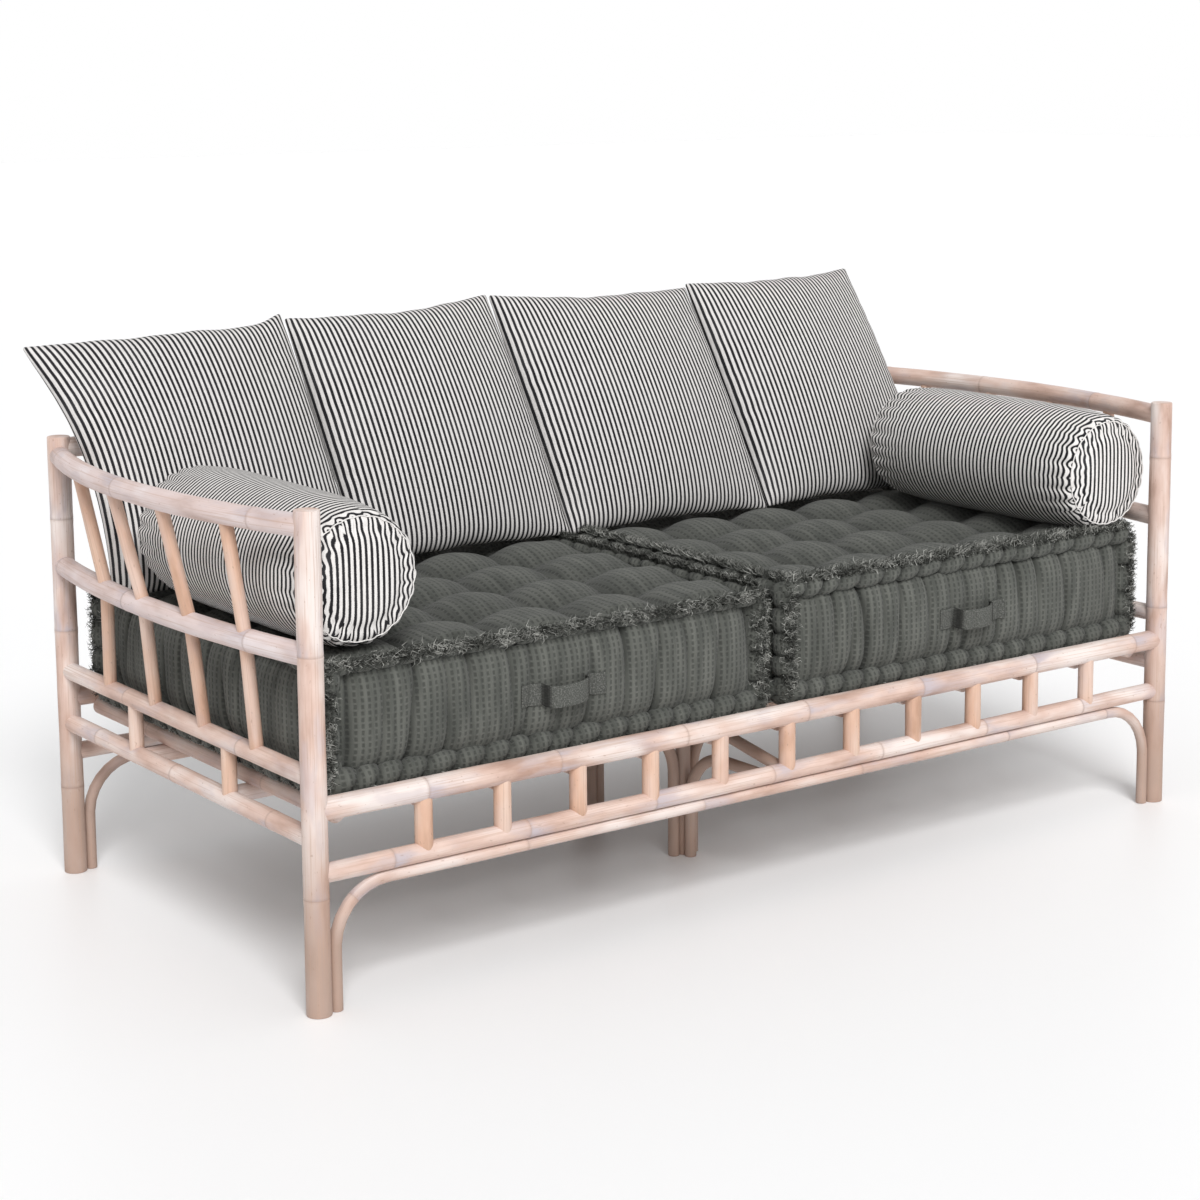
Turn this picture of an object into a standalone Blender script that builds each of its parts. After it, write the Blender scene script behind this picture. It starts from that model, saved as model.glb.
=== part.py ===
"""Rattan sofa: a pole frame with bowed arms and a slatted seat deck, two tufted mattress
cushions with sewn handles, four leaning back cushions and two bolsters.

X runs along the front, Y from front to back, Z up. While the poles are laid out, the foot of
the front left post is at zero; the finished sofa hangs on one empty that centres it.
"""

import math

import bmesh
import bpy
from mathutils import Vector
from mathutils.bvhtree import BVHTree

# Frame, in metres between pole axes.
POST_SPACING = 1.760
FRAME_DEPTH = 0.828
FRONT_POST_HEIGHT = 0.740
REAR_POST_HEIGHT = 0.748
SEAT_RAIL_HEIGHT = 0.304
APRON_DROP = 0.095
SIDE_RAIL_RISE = 0.047
SIDE_RAIL_DROP = 0.043
ARM_TOP_DROP = 0.024
ARM_MIDDLE_HEIGHT = 0.530
REAR_TOP_DROP = 0.020
ARM_TOP_BOW = 0.066
ARM_MIDDLE_BOW = 0.038

# Pole radii.
POST_RADIUS = 0.0190
SEAT_RAIL_RADIUS = 0.0175
ARM_RAIL_RADIUS = 0.0170
THIN_RAIL_RADIUS = 0.0145
APRON_SPINDLE_RADIUS = 0.0138
SHORT_SPINDLE_RADIUS = 0.0120
ARM_SPINDLE_RADIUS = 0.0105
ARCH_RADIUS = 0.0100
SEAT_BEAM_RADIUS = 0.0135
DECK_POLE_RADIUS = 0.0140
CENTRE_LEG_RADIUS = 0.0130

# Patterns of poles.
FRONT_SPINDLES = 11
FRONT_SPINDLE_END_GAP = 0.1825
ARM_SPINDLES = 4
ARM_SPINDLE_LEAN = 0.10
SHORT_SPINDLE_SPREAD = 0.316
DECK_POLES = 13
DECK_EDGE_GAP = 0.048
DECK_END_GAP = 0.002
ARCH_BEND = 0.090
KNEE_RUN = 0.200
STRETCHER_RISE = 0.046

# Cushions.
SEAT_THICKNESS = 0.200
SEAT_CROWN = 0.016
TUFTS = 4
TUFT_DEPTH = 0.022
CROWN_POWER = 0.25
HILL_POWER = 0.5
ROLL = 0.008
ROLL_HEIGHT = 0.030
SEAT_SIDE_GAP = 0.0085
SEAT_MIDDLE_GAP = 0.005
SEAT_FRONT_GAP = 0.006
BACK_HEIGHT = 0.470
BACK_THICKNESS = 0.130
BACK_OVERHANG = 0.006
BACK_GAP = 0.002
BACK_DRAW = 0.015
BACK_LEAN = math.radians(32)
BACK_POWER = 0.45
LEAN_GAP = 0.001
BOLSTER_RADIUS = 0.095
BOLSTER_SIDE_GAP = 0.002
BOLSTER_FRONT_GAP = 0.006
BOLSTER_REAR_GAP = 0.020
BOLSTER_ROUND = 0.018
HANDLE_LENGTH = 0.155
HANDLE_PAD = 0.036
HANDLE_WIDTH = 0.034
HANDLE_BULGE = 0.016
HANDLE_THICKNESS = 0.004
HANDLE_HEIGHT = 0.108

# Fits: poles that meet, poles glued into one node, soft pieces at rest, and points that are one.
FIT = 0.0003
GLUE = 0.0025
SOFT_FIT = 0.0006
WELD = 0.00001

# Facets, samples along an edge, and rounds of settling.
POST_SIDES = 16
RAIL_SIDES = 12
SPINDLE_SIDES = 10
HIDDEN_SIDES = 8
GLUED_TWIST = math.radians(7)
SHARP_ANGLE = math.radians(50)
BOW_STEPS = 12
BEND_STEPS = 6
HILL_STEPS = 4
PILLOW_STEPS = 12
BOLSTER_SIDES = 20
SHOULDER_STEPS = 4
HANDLE_STEPS = 8
EDGE_SAMPLES = 8
SETTLE_ROUNDS = 8

# Heights and places that follow from the sizes above.
APRON_LOWER_HEIGHT = SEAT_RAIL_HEIGHT - APRON_DROP
SIDE_UPPER_HEIGHT = SEAT_RAIL_HEIGHT + SIDE_RAIL_RISE
SIDE_LOWER_HEIGHT = SEAT_RAIL_HEIGHT - SIDE_RAIL_DROP
ARM_TOP_HEIGHT = FRONT_POST_HEIGHT - ARM_TOP_DROP
REAR_TOP_HEIGHT = REAR_POST_HEIGHT - REAR_TOP_DROP
CENTRE = POST_SPACING / 2
BEAM_PLACES = (FRAME_DEPTH / 3, FRAME_DEPTH * 2 / 3)
DECK_HEIGHT = SIDE_LOWER_HEIGHT + SEAT_BEAM_RADIUS + DECK_POLE_RADIUS - GLUE
DECK_TOP = DECK_HEIGHT + DECK_POLE_RADIUS
SIDES = ("left", "right")

for old_object in list(bpy.data.objects):
    bpy.data.objects.remove(old_object)

PARTS = bpy.data.collections.new("rattan_sofa")
CUTTERS = bpy.data.collections.new("cutters")
for collection in (PARTS, CUTTERS):
    bpy.context.scene.collection.children.link(collection)
ORIGIN = bpy.data.objects.new("sofa_origin", None)
PARTS.objects.link(ORIGIN)


def material(name, colour, roughness):
    made = bpy.data.materials.new(name)
    made.use_nodes = True
    shader = made.node_tree.nodes["Principled BSDF"]
    shader.inputs["Base Color"].default_value = (*colour, 1)
    shader.inputs["Roughness"].default_value = roughness
    made.diffuse_color = (*colour, 1)
    return made


RATTAN = material("whitewashed_rattan", (0.78, 0.60, 0.50), 0.55)
CHARCOAL = material("charcoal_waffle_cotton", (0.055, 0.060, 0.055), 0.95)
STRIPES = material("striped_ticking", (0.34, 0.33, 0.32), 0.90)


def add_object(name, data, collection, finish=None):
    made = bpy.data.objects.new(name, data)
    collection.objects.link(made)
    made.parent = ORIGIN
    if finish:
        data.materials.append(finish)
    if collection is CUTTERS:
        made.hide_render = True
        made.display_type = "WIRE"
    return made


def evaluated_mesh(piece):
    bpy.context.view_layer.update()
    graph = bpy.context.evaluated_depsgraph_get()
    return bpy.data.meshes.new_from_object(piece.evaluated_get(graph))


def tube(name, points, radius, sides, collection, twist=0):
    """A round pole along the points, as a closed mesh that stands at its first point."""
    start = Vector(points[0])
    curve = bpy.data.curves.new(name, "CURVE")
    curve.dimensions = "3D"
    curve.bevel_depth = radius
    curve.bevel_resolution = sides // 2 - 2
    curve.use_fill_caps = True
    spline = curve.splines.new("POLY")
    spline.points.add(len(points) - 1)
    for point, place in zip(spline.points, points):
        point.co = (*(Vector(place) - start), 1)
        point.tilt = twist
    guide = bpy.data.objects.new(name + "_line", curve)
    collection.objects.link(guide)
    mesh = evaluated_mesh(guide)
    bpy.data.objects.remove(guide)
    mesh.name = name
    shaping = bmesh.new()
    shaping.from_mesh(mesh)
    bmesh.ops.remove_doubles(shaping, verts=shaping.verts, dist=WELD)
    bmesh.ops.recalc_face_normals(shaping, faces=shaping.faces)
    shaping.to_mesh(mesh)
    shaping.free()
    mesh.shade_smooth()
    mesh.set_sharp_from_angle(angle=SHARP_ANGLE)
    finish = RATTAN if collection is PARTS else None
    made = add_object(name, mesh, collection, finish)
    made.location = start
    return made


# Each pole's line, so that its neighbours can be coped against it.
LINES = {}


def pole(name, points, radius, sides):
    LINES[name] = (points, radius, sides)
    return tube(name, points, radius, sides, PARTS)


def coping_cutter(name):
    """The named pole, larger by the fit, as a cutter. It is made once."""
    found = CUTTERS.objects.get(name + "_cope")
    if found:
        return found
    points, radius, sides = LINES[name]
    return tube(name + "_cope", points, radius + FIT, sides, CUTTERS)


def cope(piece, *neighbours):
    for neighbour in neighbours:
        cut = piece.modifiers.new("cope_on_" + neighbour, "BOOLEAN")
        cut.operation = "DIFFERENCE"
        cut.object = coping_cutter(neighbour)


def glue(piece, name, points, radius, sides, twist=GLUED_TWIST):
    """Adds a pole to the piece, where the two are one node."""
    addition = tube(name, points, radius, sides, CUTTERS, twist)
    union = piece.modifiers.new("glue_" + name, "BOOLEAN")
    union.operation = "UNION"
    union.object = addition


def across(side, inset):
    """X of a place that lies this far inside the post axis of one side."""
    return inset if side == "left" else POST_SPACING - inset


def bend(start, corner, end, radius):
    """Points from start to end with a round bend at the corner, whose runs are square."""
    start, corner, end = Vector(start), Vector(corner), Vector(end)
    back = (start - corner).normalized()
    onward = (end - corner).normalized()
    centre = corner + (back + onward) * radius
    points = [start]
    for step in range(BEND_STEPS + 1):
        angle = math.pi / 2 * step / BEND_STEPS
        points.append(centre - onward * radius * math.cos(angle) - back * radius * math.sin(angle))
    points.append(end)
    return points


# Corner posts.
for side in SIDES:
    for row, place, height in (("front", 0, FRONT_POST_HEIGHT), ("rear", FRAME_DEPTH, REAR_POST_HEIGHT)):
        foot = (across(side, 0), place, 0)
        top = (across(side, 0), place, height)
        pole(f"{row}_{side}_post", [foot, top], POST_RADIUS, POST_SIDES)


# Long rails of the front and the rear, coped on the posts.
def long_rail(name, row, height, radius):
    place = 0 if row == "front" else FRAME_DEPTH
    ends = [(across(side, 0), place, height) for side in SIDES]
    return pole(name, ends, radius, RAIL_SIDES)


front_upper_rail = long_rail("front_upper_rail", "front", SEAT_RAIL_HEIGHT, SEAT_RAIL_RADIUS)
front_lower_rail = long_rail("front_lower_rail", "front", APRON_LOWER_HEIGHT, THIN_RAIL_RADIUS)
rear_seat_rail = long_rail("rear_seat_rail", "rear", SEAT_RAIL_HEIGHT, SEAT_RAIL_RADIUS)
rear_lower_rail = long_rail("rear_lower_rail", "rear", APRON_LOWER_HEIGHT, THIN_RAIL_RADIUS)
rear_top_rail = long_rail("rear_top_rail", "rear", REAR_TOP_HEIGHT, ARM_RAIL_RADIUS)
for rail in (front_upper_rail, front_lower_rail):
    cope(rail, "front_left_post", "front_right_post")
for rail in (rear_lower_rail, rear_top_rail):
    cope(rail, "rear_left_post", "rear_right_post")


# One thin pole bent down at both ends stands beside the posts and runs under each lower rail.
def arch(name, row):
    place = 0 if row == "front" else FRAME_DEPTH
    inset = POST_RADIUS + ARCH_RADIUS + FIT
    height = APRON_LOWER_HEIGHT - THIN_RAIL_RADIUS - ARCH_RADIUS - FIT
    halves = []
    for side in SIDES:
        foot = (across(side, inset), place, 0)
        corner = (across(side, inset), place, height)
        halves.append(bend(foot, corner, (CENTRE, place, height), ARCH_BEND))
    left, right = halves
    pole(name, left + right[-2::-1], ARCH_RADIUS, SPINDLE_SIDES)


arch("front_arch", "front")
arch("rear_arch", "rear")

# Front spindles, each coped on the upper and lower rail.
front_run = POST_SPACING - 2 * FRONT_SPINDLE_END_GAP
spindle_places = [
    FRONT_SPINDLE_END_GAP + front_run * step / (FRONT_SPINDLES - 1) for step in range(FRONT_SPINDLES)
]
for number, place in enumerate(spindle_places, 1):
    ends = [(place, 0, APRON_LOWER_HEIGHT), (place, 0, SEAT_RAIL_HEIGHT)]
    spindle = pole(f"front_spindle_{number:02d}", ends, APRON_SPINDLE_RADIUS, SPINDLE_SIDES)
    cope(spindle, "front_upper_rail", "front_lower_rail")

# Back spindles stand in the rear seat rail and end under the rear top rail.
for number, place in enumerate(spindle_places, 1):
    ends = [(place, FRAME_DEPTH, SEAT_RAIL_HEIGHT), (place, FRAME_DEPTH, REAR_TOP_HEIGHT)]
    glue(rear_seat_rail, f"back_spindle_{number:02d}", ends, ARM_SPINDLE_RADIUS, HIDDEN_SIDES)
cope(rear_seat_rail, "rear_top_rail", "rear_left_post", "rear_right_post")


# Arms: two rails bowed outward, two straight side rails and leaning spindles.
def bowed(side, share, bow, height):
    """A point on a bowed rail, at this share of the way from front post to rear post."""
    outward = bow * 4 * share * (1 - share)
    return (across(side, -outward), FRAME_DEPTH * share, height)


def bowed_rail(name, side, bow, height):
    points = [bowed(side, step / BOW_STEPS, bow, height) for step in range(BOW_STEPS + 1)]
    rail = pole(name, points, ARM_RAIL_RADIUS, RAIL_SIDES)
    cope(rail, f"front_{side}_post", f"rear_{side}_post")


def side_rail(name, side, height):
    ends = [(across(side, 0), 0, height), (across(side, 0), FRAME_DEPTH, height)]
    rail = pole(name, ends, THIN_RAIL_RADIUS, RAIL_SIDES)
    cope(rail, f"front_{side}_post", f"rear_{side}_post")
    return rail


for side in SIDES:
    bowed_rail(f"{side}_arm_top_rail", side, ARM_TOP_BOW, ARM_TOP_HEIGHT)
    bowed_rail(f"{side}_arm_middle_rail", side, ARM_MIDDLE_BOW, ARM_MIDDLE_HEIGHT)
    side_rail(f"{side}_side_upper_rail", side, SIDE_UPPER_HEIGHT)
    lower_rail = side_rail(f"{side}_side_lower_rail", side, SIDE_LOWER_HEIGHT)
    cope(rear_top_rail, f"{side}_arm_top_rail")
    for number in (1, 2):
        place = FRAME_DEPTH / 2 + SHORT_SPINDLE_SPREAD * (number - 1.5)
        ends = [(across(side, 0), place, SIDE_LOWER_HEIGHT), (across(side, 0), place, SIDE_UPPER_HEIGHT)]
        glue(lower_rail, f"{side}_short_spindle_{number}", ends, SHORT_SPINDLE_RADIUS, SPINDLE_SIDES)
    cope(lower_rail, f"{side}_side_upper_rail")
    for number in range(1, ARM_SPINDLES + 1):
        share = number / (ARM_SPINDLES + 1)
        low = (across(side, 0), FRAME_DEPTH * share, SIDE_UPPER_HEIGHT)
        middle = bowed(side, share * (1 - ARM_SPINDLE_LEAN), ARM_MIDDLE_BOW, ARM_MIDDLE_HEIGHT)
        high = bowed(side, share, ARM_TOP_BOW, ARM_TOP_HEIGHT)
        lower = pole(f"{side}_arm_lower_spindle_{number}", [low, middle], ARM_SPINDLE_RADIUS, SPINDLE_SIDES)
        cope(lower, f"{side}_side_upper_rail", f"{side}_arm_middle_rail")
        upper = pole(f"{side}_arm_upper_spindle_{number}", [middle, high], ARM_SPINDLE_RADIUS, SPINDLE_SIDES)
        cope(upper, f"{side}_arm_middle_rail", f"{side}_arm_top_rail")

# Seat deck: two beams between the side rails, with the seat poles nailed across them.
for row, place in zip(("front", "rear"), BEAM_PLACES):
    LINES[f"{row}_beam"] = (
        [(across(side, 0), place, SIDE_LOWER_HEIGHT) for side in SIDES],
        SEAT_BEAM_RADIUS,
        RAIL_SIDES,
    )
deck = tube("seat_deck", *LINES["front_beam"], PARTS)
deck_start = SEAT_RAIL_RADIUS + DECK_END_GAP
for number in range(DECK_POLES):
    place = DECK_EDGE_GAP + (POST_SPACING - 2 * DECK_EDGE_GAP) * number / (DECK_POLES - 1)
    ends = [(place, deck_start, DECK_HEIGHT), (place, FRAME_DEPTH - deck_start, DECK_HEIGHT)]
    glue(deck, f"deck_pole_{number + 1:02d}", ends, DECK_POLE_RADIUS, HIDDEN_SIDES)
glue(deck, "rear_beam", *LINES["rear_beam"], twist=0)
cope(deck, "left_side_lower_rail", "right_side_lower_rail")

# Centre legs stand under the beams, each with bent knees that run out under its beam.
knee_inset = CENTRE_LEG_RADIUS + ARCH_RADIUS - GLUE
knee_height = SIDE_LOWER_HEIGHT - SEAT_BEAM_RADIUS - ARCH_RADIUS - FIT
stretcher_slope = math.atan2(STRETCHER_RISE, BEAM_PLACES[0])
front_knee_height = APRON_LOWER_HEIGHT - (2 * ARCH_RADIUS + FIT) / math.cos(stretcher_slope)
for row, place in zip(("front", "rear"), BEAM_PLACES):
    ends = [(CENTRE, place, 0), (CENTRE, place, SIDE_LOWER_HEIGHT)]
    leg = pole(f"centre_leg_{row}", ends, CENTRE_LEG_RADIUS, RAIL_SIDES)
    for side in SIDES:
        outward = -1 if side == "left" else 1
        stem = CENTRE + outward * knee_inset
        tip = stem + outward * (ARCH_BEND + KNEE_RUN)
        knee = bend((stem, place, 0), (stem, place, knee_height), (tip, place, knee_height), ARCH_BEND)
        glue(leg, f"{row}_{side}_knee", knee, ARCH_RADIUS, SPINDLE_SIDES)
    if row == "front":
        stem = place - knee_inset
        corner = (CENTRE, stem, front_knee_height)
        knee = bend((CENTRE, stem, 0), corner, (CENTRE, 0, front_knee_height), ARCH_BEND)
        glue(leg, "front_knee", knee, ARCH_RADIUS, SPINDLE_SIDES)
        cope(leg, "front_lower_rail", "front_arch")
    cope(leg, f"{row}_beam")

# A thin stretcher climbs from the front lower rail to the front centre leg.
stretcher_ends = [
    (CENTRE, 0, APRON_LOWER_HEIGHT),
    (CENTRE, BEAM_PLACES[0], APRON_LOWER_HEIGHT + STRETCHER_RISE),
]
stretcher = pole("centre_stretcher", stretcher_ends, ARCH_RADIUS, SPINDLE_SIDES)
cope(stretcher, "front_lower_rail", "centre_leg_front", "front_beam")
for number, place in enumerate(spindle_places, 1):
    if abs(place - CENTRE) < APRON_SPINDLE_RADIUS + ARCH_RADIUS + FIT:
        cope(stretcher, f"front_spindle_{number:02d}")


def finish_soft(name, shaping, finish):
    """Turns a shaped form into an object, closed and facing out."""
    bmesh.ops.recalc_face_normals(shaping, faces=shaping.faces)
    mesh = bpy.data.meshes.new(name)
    shaping.to_mesh(mesh)
    shaping.free()
    mesh.shade_smooth()
    return add_object(name, mesh, PARTS, finish)


# Seat cushions: mattresses with a tufted crown, rolled edges and drawn-in sides.
def mattress(name, width, depth):
    """A mattress centred on X and Y, standing on zero."""
    hills = TUFTS + 1
    steps = hills * HILL_STEPS
    shaping = bmesh.new()
    bmesh.ops.create_grid(shaping, x_segments=steps, y_segments=steps, size=0.5)
    for point in shaping.verts:
        u, v = point.co.x + 0.5, point.co.y + 0.5
        crown = SEAT_CROWN * (16 * u * (1 - u) * v * (1 - v)) ** CROWN_POWER
        puff = abs(math.sin(math.pi * hills * u) * math.sin(math.pi * hills * v)) ** HILL_POWER
        inside = min(1, hills * min(u, 1 - u, v, 1 - v))
        dip = TUFT_DEPTH * (1 - puff) * inside
        point.co = ((u - 0.5) * width, (v - 0.5) * depth, SEAT_THICKNESS + crown - dip)
    rings = (
        (ROLL, SEAT_THICKNESS - ROLL_HEIGHT / 2),
        (0, SEAT_THICKNESS - ROLL_HEIGHT),
        (0, ROLL_HEIGHT),
        (ROLL, ROLL_HEIGHT / 2),
        (0, 0),
    )
    rim = [edge for edge in shaping.edges if edge.is_boundary]
    for outset, height in rings:
        grown = bmesh.ops.extrude_edge_only(shaping, edges=rim)["geom"]
        rim = [item for item in grown if isinstance(item, bmesh.types.BMEdge) and item.is_boundary]
        for point in {point for edge in rim for point in edge.verts}:
            x, y = point.co.x, point.co.y
            on_side = abs(abs(x) - width / 2) < ROLL * 1.5
            on_end = abs(abs(y) - depth / 2) < ROLL * 1.5
            if on_side:
                x = math.copysign(width / 2 + outset, x)
            if on_end:
                y = math.copysign(depth / 2 + outset, y)
            point.co = (x, y, height)
    bmesh.ops.holes_fill(shaping, edges=rim, sides=0)
    return finish_soft(name, shaping, CHARCOAL)


seat_edge = POST_RADIUS + SEAT_SIDE_GAP
seat_width = (POST_SPACING - 2 * seat_edge - SEAT_MIDDLE_GAP) / 2 - ROLL
seat_front = POST_RADIUS + SEAT_FRONT_GAP
seat_depth = FRAME_DEPTH - 2 * seat_front
seat_base = DECK_TOP + SOFT_FIT
seats = {}
for side in SIDES:
    seat = mattress(f"{side}_seat_cushion", seat_width, seat_depth)
    outward = -1 if side == "left" else 1
    seat.location = (
        CENTRE + outward * (SEAT_MIDDLE_GAP / 2 + ROLL + seat_width / 2),
        FRAME_DEPTH / 2,
        seat_base,
    )
    seats[side] = seat


# Handles: a webbing strap sewn flat at both ends on the front of each seat cushion.
def handle(name, seat):
    half = HANDLE_LENGTH / 2
    free = half - HANDLE_PAD
    bulge = [free * (2 * step / HANDLE_STEPS - 1) for step in range(HANDLE_STEPS + 1)]
    stations = [-half, *bulge, half]
    curve = bpy.data.curves.new(name, "CURVE")
    curve.dimensions = "2D"
    curve.fill_mode = "BOTH"
    curve.extrude = HANDLE_WIDTH / 2
    spline = curve.splines.new("POLY")
    outline = []
    for station in stations:
        reach = math.cos(math.pi / 2 * min(1, abs(station) / free)) * HANDLE_BULGE
        outline.append((station, -reach))
    outline += [(station, reach - HANDLE_THICKNESS) for station, reach in reversed(outline)]
    spline.points.add(len(outline) - 1)
    for point, place in zip(spline.points, outline):
        point.co = (*place, 0, 1)
    spline.use_cyclic_u = True
    strap = add_object(name, curve, PARTS, CHARCOAL)
    front = seat.location.y - seat_depth / 2
    strap.location = (seat.location.x, front - FIT, seat.location.z + HANDLE_HEIGHT)


for side in SIDES:
    handle(f"{side}_handle", seats[side])


def surface_points(piece):
    """Points along every edge of a piece, and its surface, in place."""
    mesh = evaluated_mesh(piece)
    bpy.context.view_layer.update()
    mesh.calc_loop_triangles()
    corners = [piece.matrix_world @ vertex.co for vertex in mesh.vertices]
    triangles = [tuple(triangle.vertices) for triangle in mesh.loop_triangles]
    tree = BVHTree.FromPolygons(corners, triangles, all_triangles=True)
    points = []
    for edge in mesh.edges:
        start, end = (corners[index] for index in edge.vertices)
        points += [start.lerp(end, step / EDGE_SAMPLES) for step in range(EDGE_SAMPLES)]
    bpy.data.meshes.remove(mesh)
    return points, tree


def fall(piece, support):
    """How far the piece can drop before it touches its support."""
    piece_points, piece_tree = surface_points(piece)
    support_points, support_tree = surface_points(support)
    down, up = Vector((0, 0, -1)), Vector((0, 0, 1))
    drops = [support_tree.ray_cast(point, down)[3] for point in piece_points]
    drops += [piece_tree.ray_cast(point, up)[3] for point in support_points]
    return min(drop for drop in drops if drop is not None)


# Back cushions: pillows with pointed corners that lean on the rear top rail.
def half_thickness(u, v):
    """Half the thickness of a pillow at u, v, each from -1 to 1."""
    return BACK_THICKNESS / 2 * (max(0, (1 - u * u) * (1 - v * v))) ** BACK_POWER


def pillow(name, width):
    shaping = bmesh.new()
    for face in (-1, 1):
        grid = bmesh.ops.create_grid(shaping, x_segments=PILLOW_STEPS, y_segments=PILLOW_STEPS, size=1)
        ears = [point for point in grid["verts"] if len(point.link_faces) == 1]
        for ear in ears:
            tip = ear.link_faces[0]
            beside = [edge.other_vert(ear) for edge in ear.link_edges]
            inner = [point for point in tip.verts if point is not ear and point not in beside]
            bmesh.utils.face_split(tip, ear, inner[0])
        for point in grid["verts"]:
            u, v = point.co.x, point.co.y
            x = u * (width / 2 - BACK_DRAW * (1 - v * v))
            z = v * (BACK_HEIGHT / 2 - BACK_DRAW * (1 - u * u))
            point.co = (x, face * half_thickness(u, v), z)
    bmesh.ops.remove_doubles(shaping, verts=shaping.verts, dist=WELD)
    return finish_soft(name, shaping, STRIPES)


def lean(cushion, x, base):
    """Puts a back cushion against the rear top rail with its lower edge at this height."""
    rail = Vector((FRAME_DEPTH, REAR_TOP_HEIGHT))
    upward = Vector((math.sin(BACK_LEAN), math.cos(BACK_LEAN)))
    backward = Vector((math.cos(BACK_LEAN), -math.sin(BACK_LEAN)))
    touch = 0
    for _ in range(SETTLE_ROUNDS):
        reach = ARM_RAIL_RADIUS + half_thickness(0, touch) + LEAN_GAP
        foot_to_touch = (rail.y - backward.y * reach - base) / upward.y
        touch = 2 * foot_to_touch / BACK_HEIGHT - 1
    centre = rail - backward * reach - upward * (touch * BACK_HEIGHT / 2)
    cushion.location = (x, centre.x, centre.y)
    cushion.rotation_euler = (-BACK_LEAN, 0, 0)


back_pitch = (POST_SPACING + 2 * BACK_OVERHANG) / 4
back_front = FRAME_DEPTH
seat_top = seat_base + SEAT_THICKNESS + SEAT_CROWN
for number in range(1, 5):
    cushion = pillow(f"back_cushion_{number}", back_pitch - BACK_GAP)
    middle = back_pitch * (number - 0.5) - BACK_OVERHANG
    base = seat_top
    lean(cushion, middle, base)
    for _ in range(SETTLE_ROUNDS):
        base -= fall(cushion, seats["left" if number < 3 else "right"]) - SOFT_FIT
        lean(cushion, middle, base)
    faces, _ = surface_points(cushion)
    low_faces = [point.y for point in faces if point.z < seat_top + 2 * BOLSTER_RADIUS]
    back_front = min(back_front, *low_faces)


# Bolsters: round rolls along each arm, resting on the seat cushions.
def bolster(name, length):
    """A roll with soft shoulders, turned about its own length."""
    half = length / 2
    profile = [(0, half)]
    for step in range(SHOULDER_STEPS + 1):
        angle = math.pi / 2 * step / SHOULDER_STEPS
        radius = BOLSTER_RADIUS - BOLSTER_ROUND * (1 - math.sin(angle))
        profile.append((radius, half - BOLSTER_ROUND * (1 - math.cos(angle))))
    profile += [(radius, -height) for radius, height in reversed(profile)]
    mesh = bpy.data.meshes.new(name)
    lines = [(index, index + 1) for index in range(len(profile) - 1)]
    mesh.from_pydata([(x, 0, z) for x, z in profile], lines, [])
    roll = add_object(name, mesh, PARTS, STRIPES)
    turn = roll.modifiers.new("turn", "SCREW")
    turn.steps = BOLSTER_SIDES
    turn.render_steps = BOLSTER_SIDES
    turn.use_merge_vertices = True
    turn.merge_threshold = WELD
    turn.use_smooth_shade = True
    roll.rotation_euler = (math.radians(90), 0, 0)
    return roll


bolster_front = POST_RADIUS + BOLSTER_FRONT_GAP
bolster_length = back_front - BOLSTER_REAR_GAP - bolster_front
for side in SIDES:
    roll = bolster(f"{side}_bolster", bolster_length)
    inset = POST_RADIUS + BOLSTER_SIDE_GAP + BOLSTER_RADIUS
    roll.location = (across(side, inset), bolster_front + bolster_length / 2, seat_top + BOLSTER_RADIUS)
    roll.location.z -= fall(roll, seats[side]) - SOFT_FIT

# The finished sofa stands on zero with its box centred on the empty.
corners = []
for piece in PARTS.objects:
    if piece is not ORIGIN:
        shape = evaluated_mesh(piece)
        corners += [piece.matrix_world @ vertex.co for vertex in shape.vertices]
        bpy.data.meshes.remove(shape)
lowest = [min(corner[axis] for corner in corners) for axis in range(3)]
highest = [max(corner[axis] for corner in corners) for axis in range(3)]
ORIGIN.location = (-(lowest[0] + highest[0]) / 2, -(lowest[1] + highest[1]) / 2, -lowest[2])
bpy.context.view_layer.update()
print("box", [round(high - low, 4) for low, high in zip(lowest, highest)])
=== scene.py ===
"""Looks of the rattan sofa: whitewashed poles, tufted seat cushions with frayed seams, and striped
back cushions and bolsters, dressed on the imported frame."""

import math
import random

import bmesh
import bpy
import numpy as np
from mathutils import Matrix, Vector
from mathutils.bvhtree import BVHTree


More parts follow.
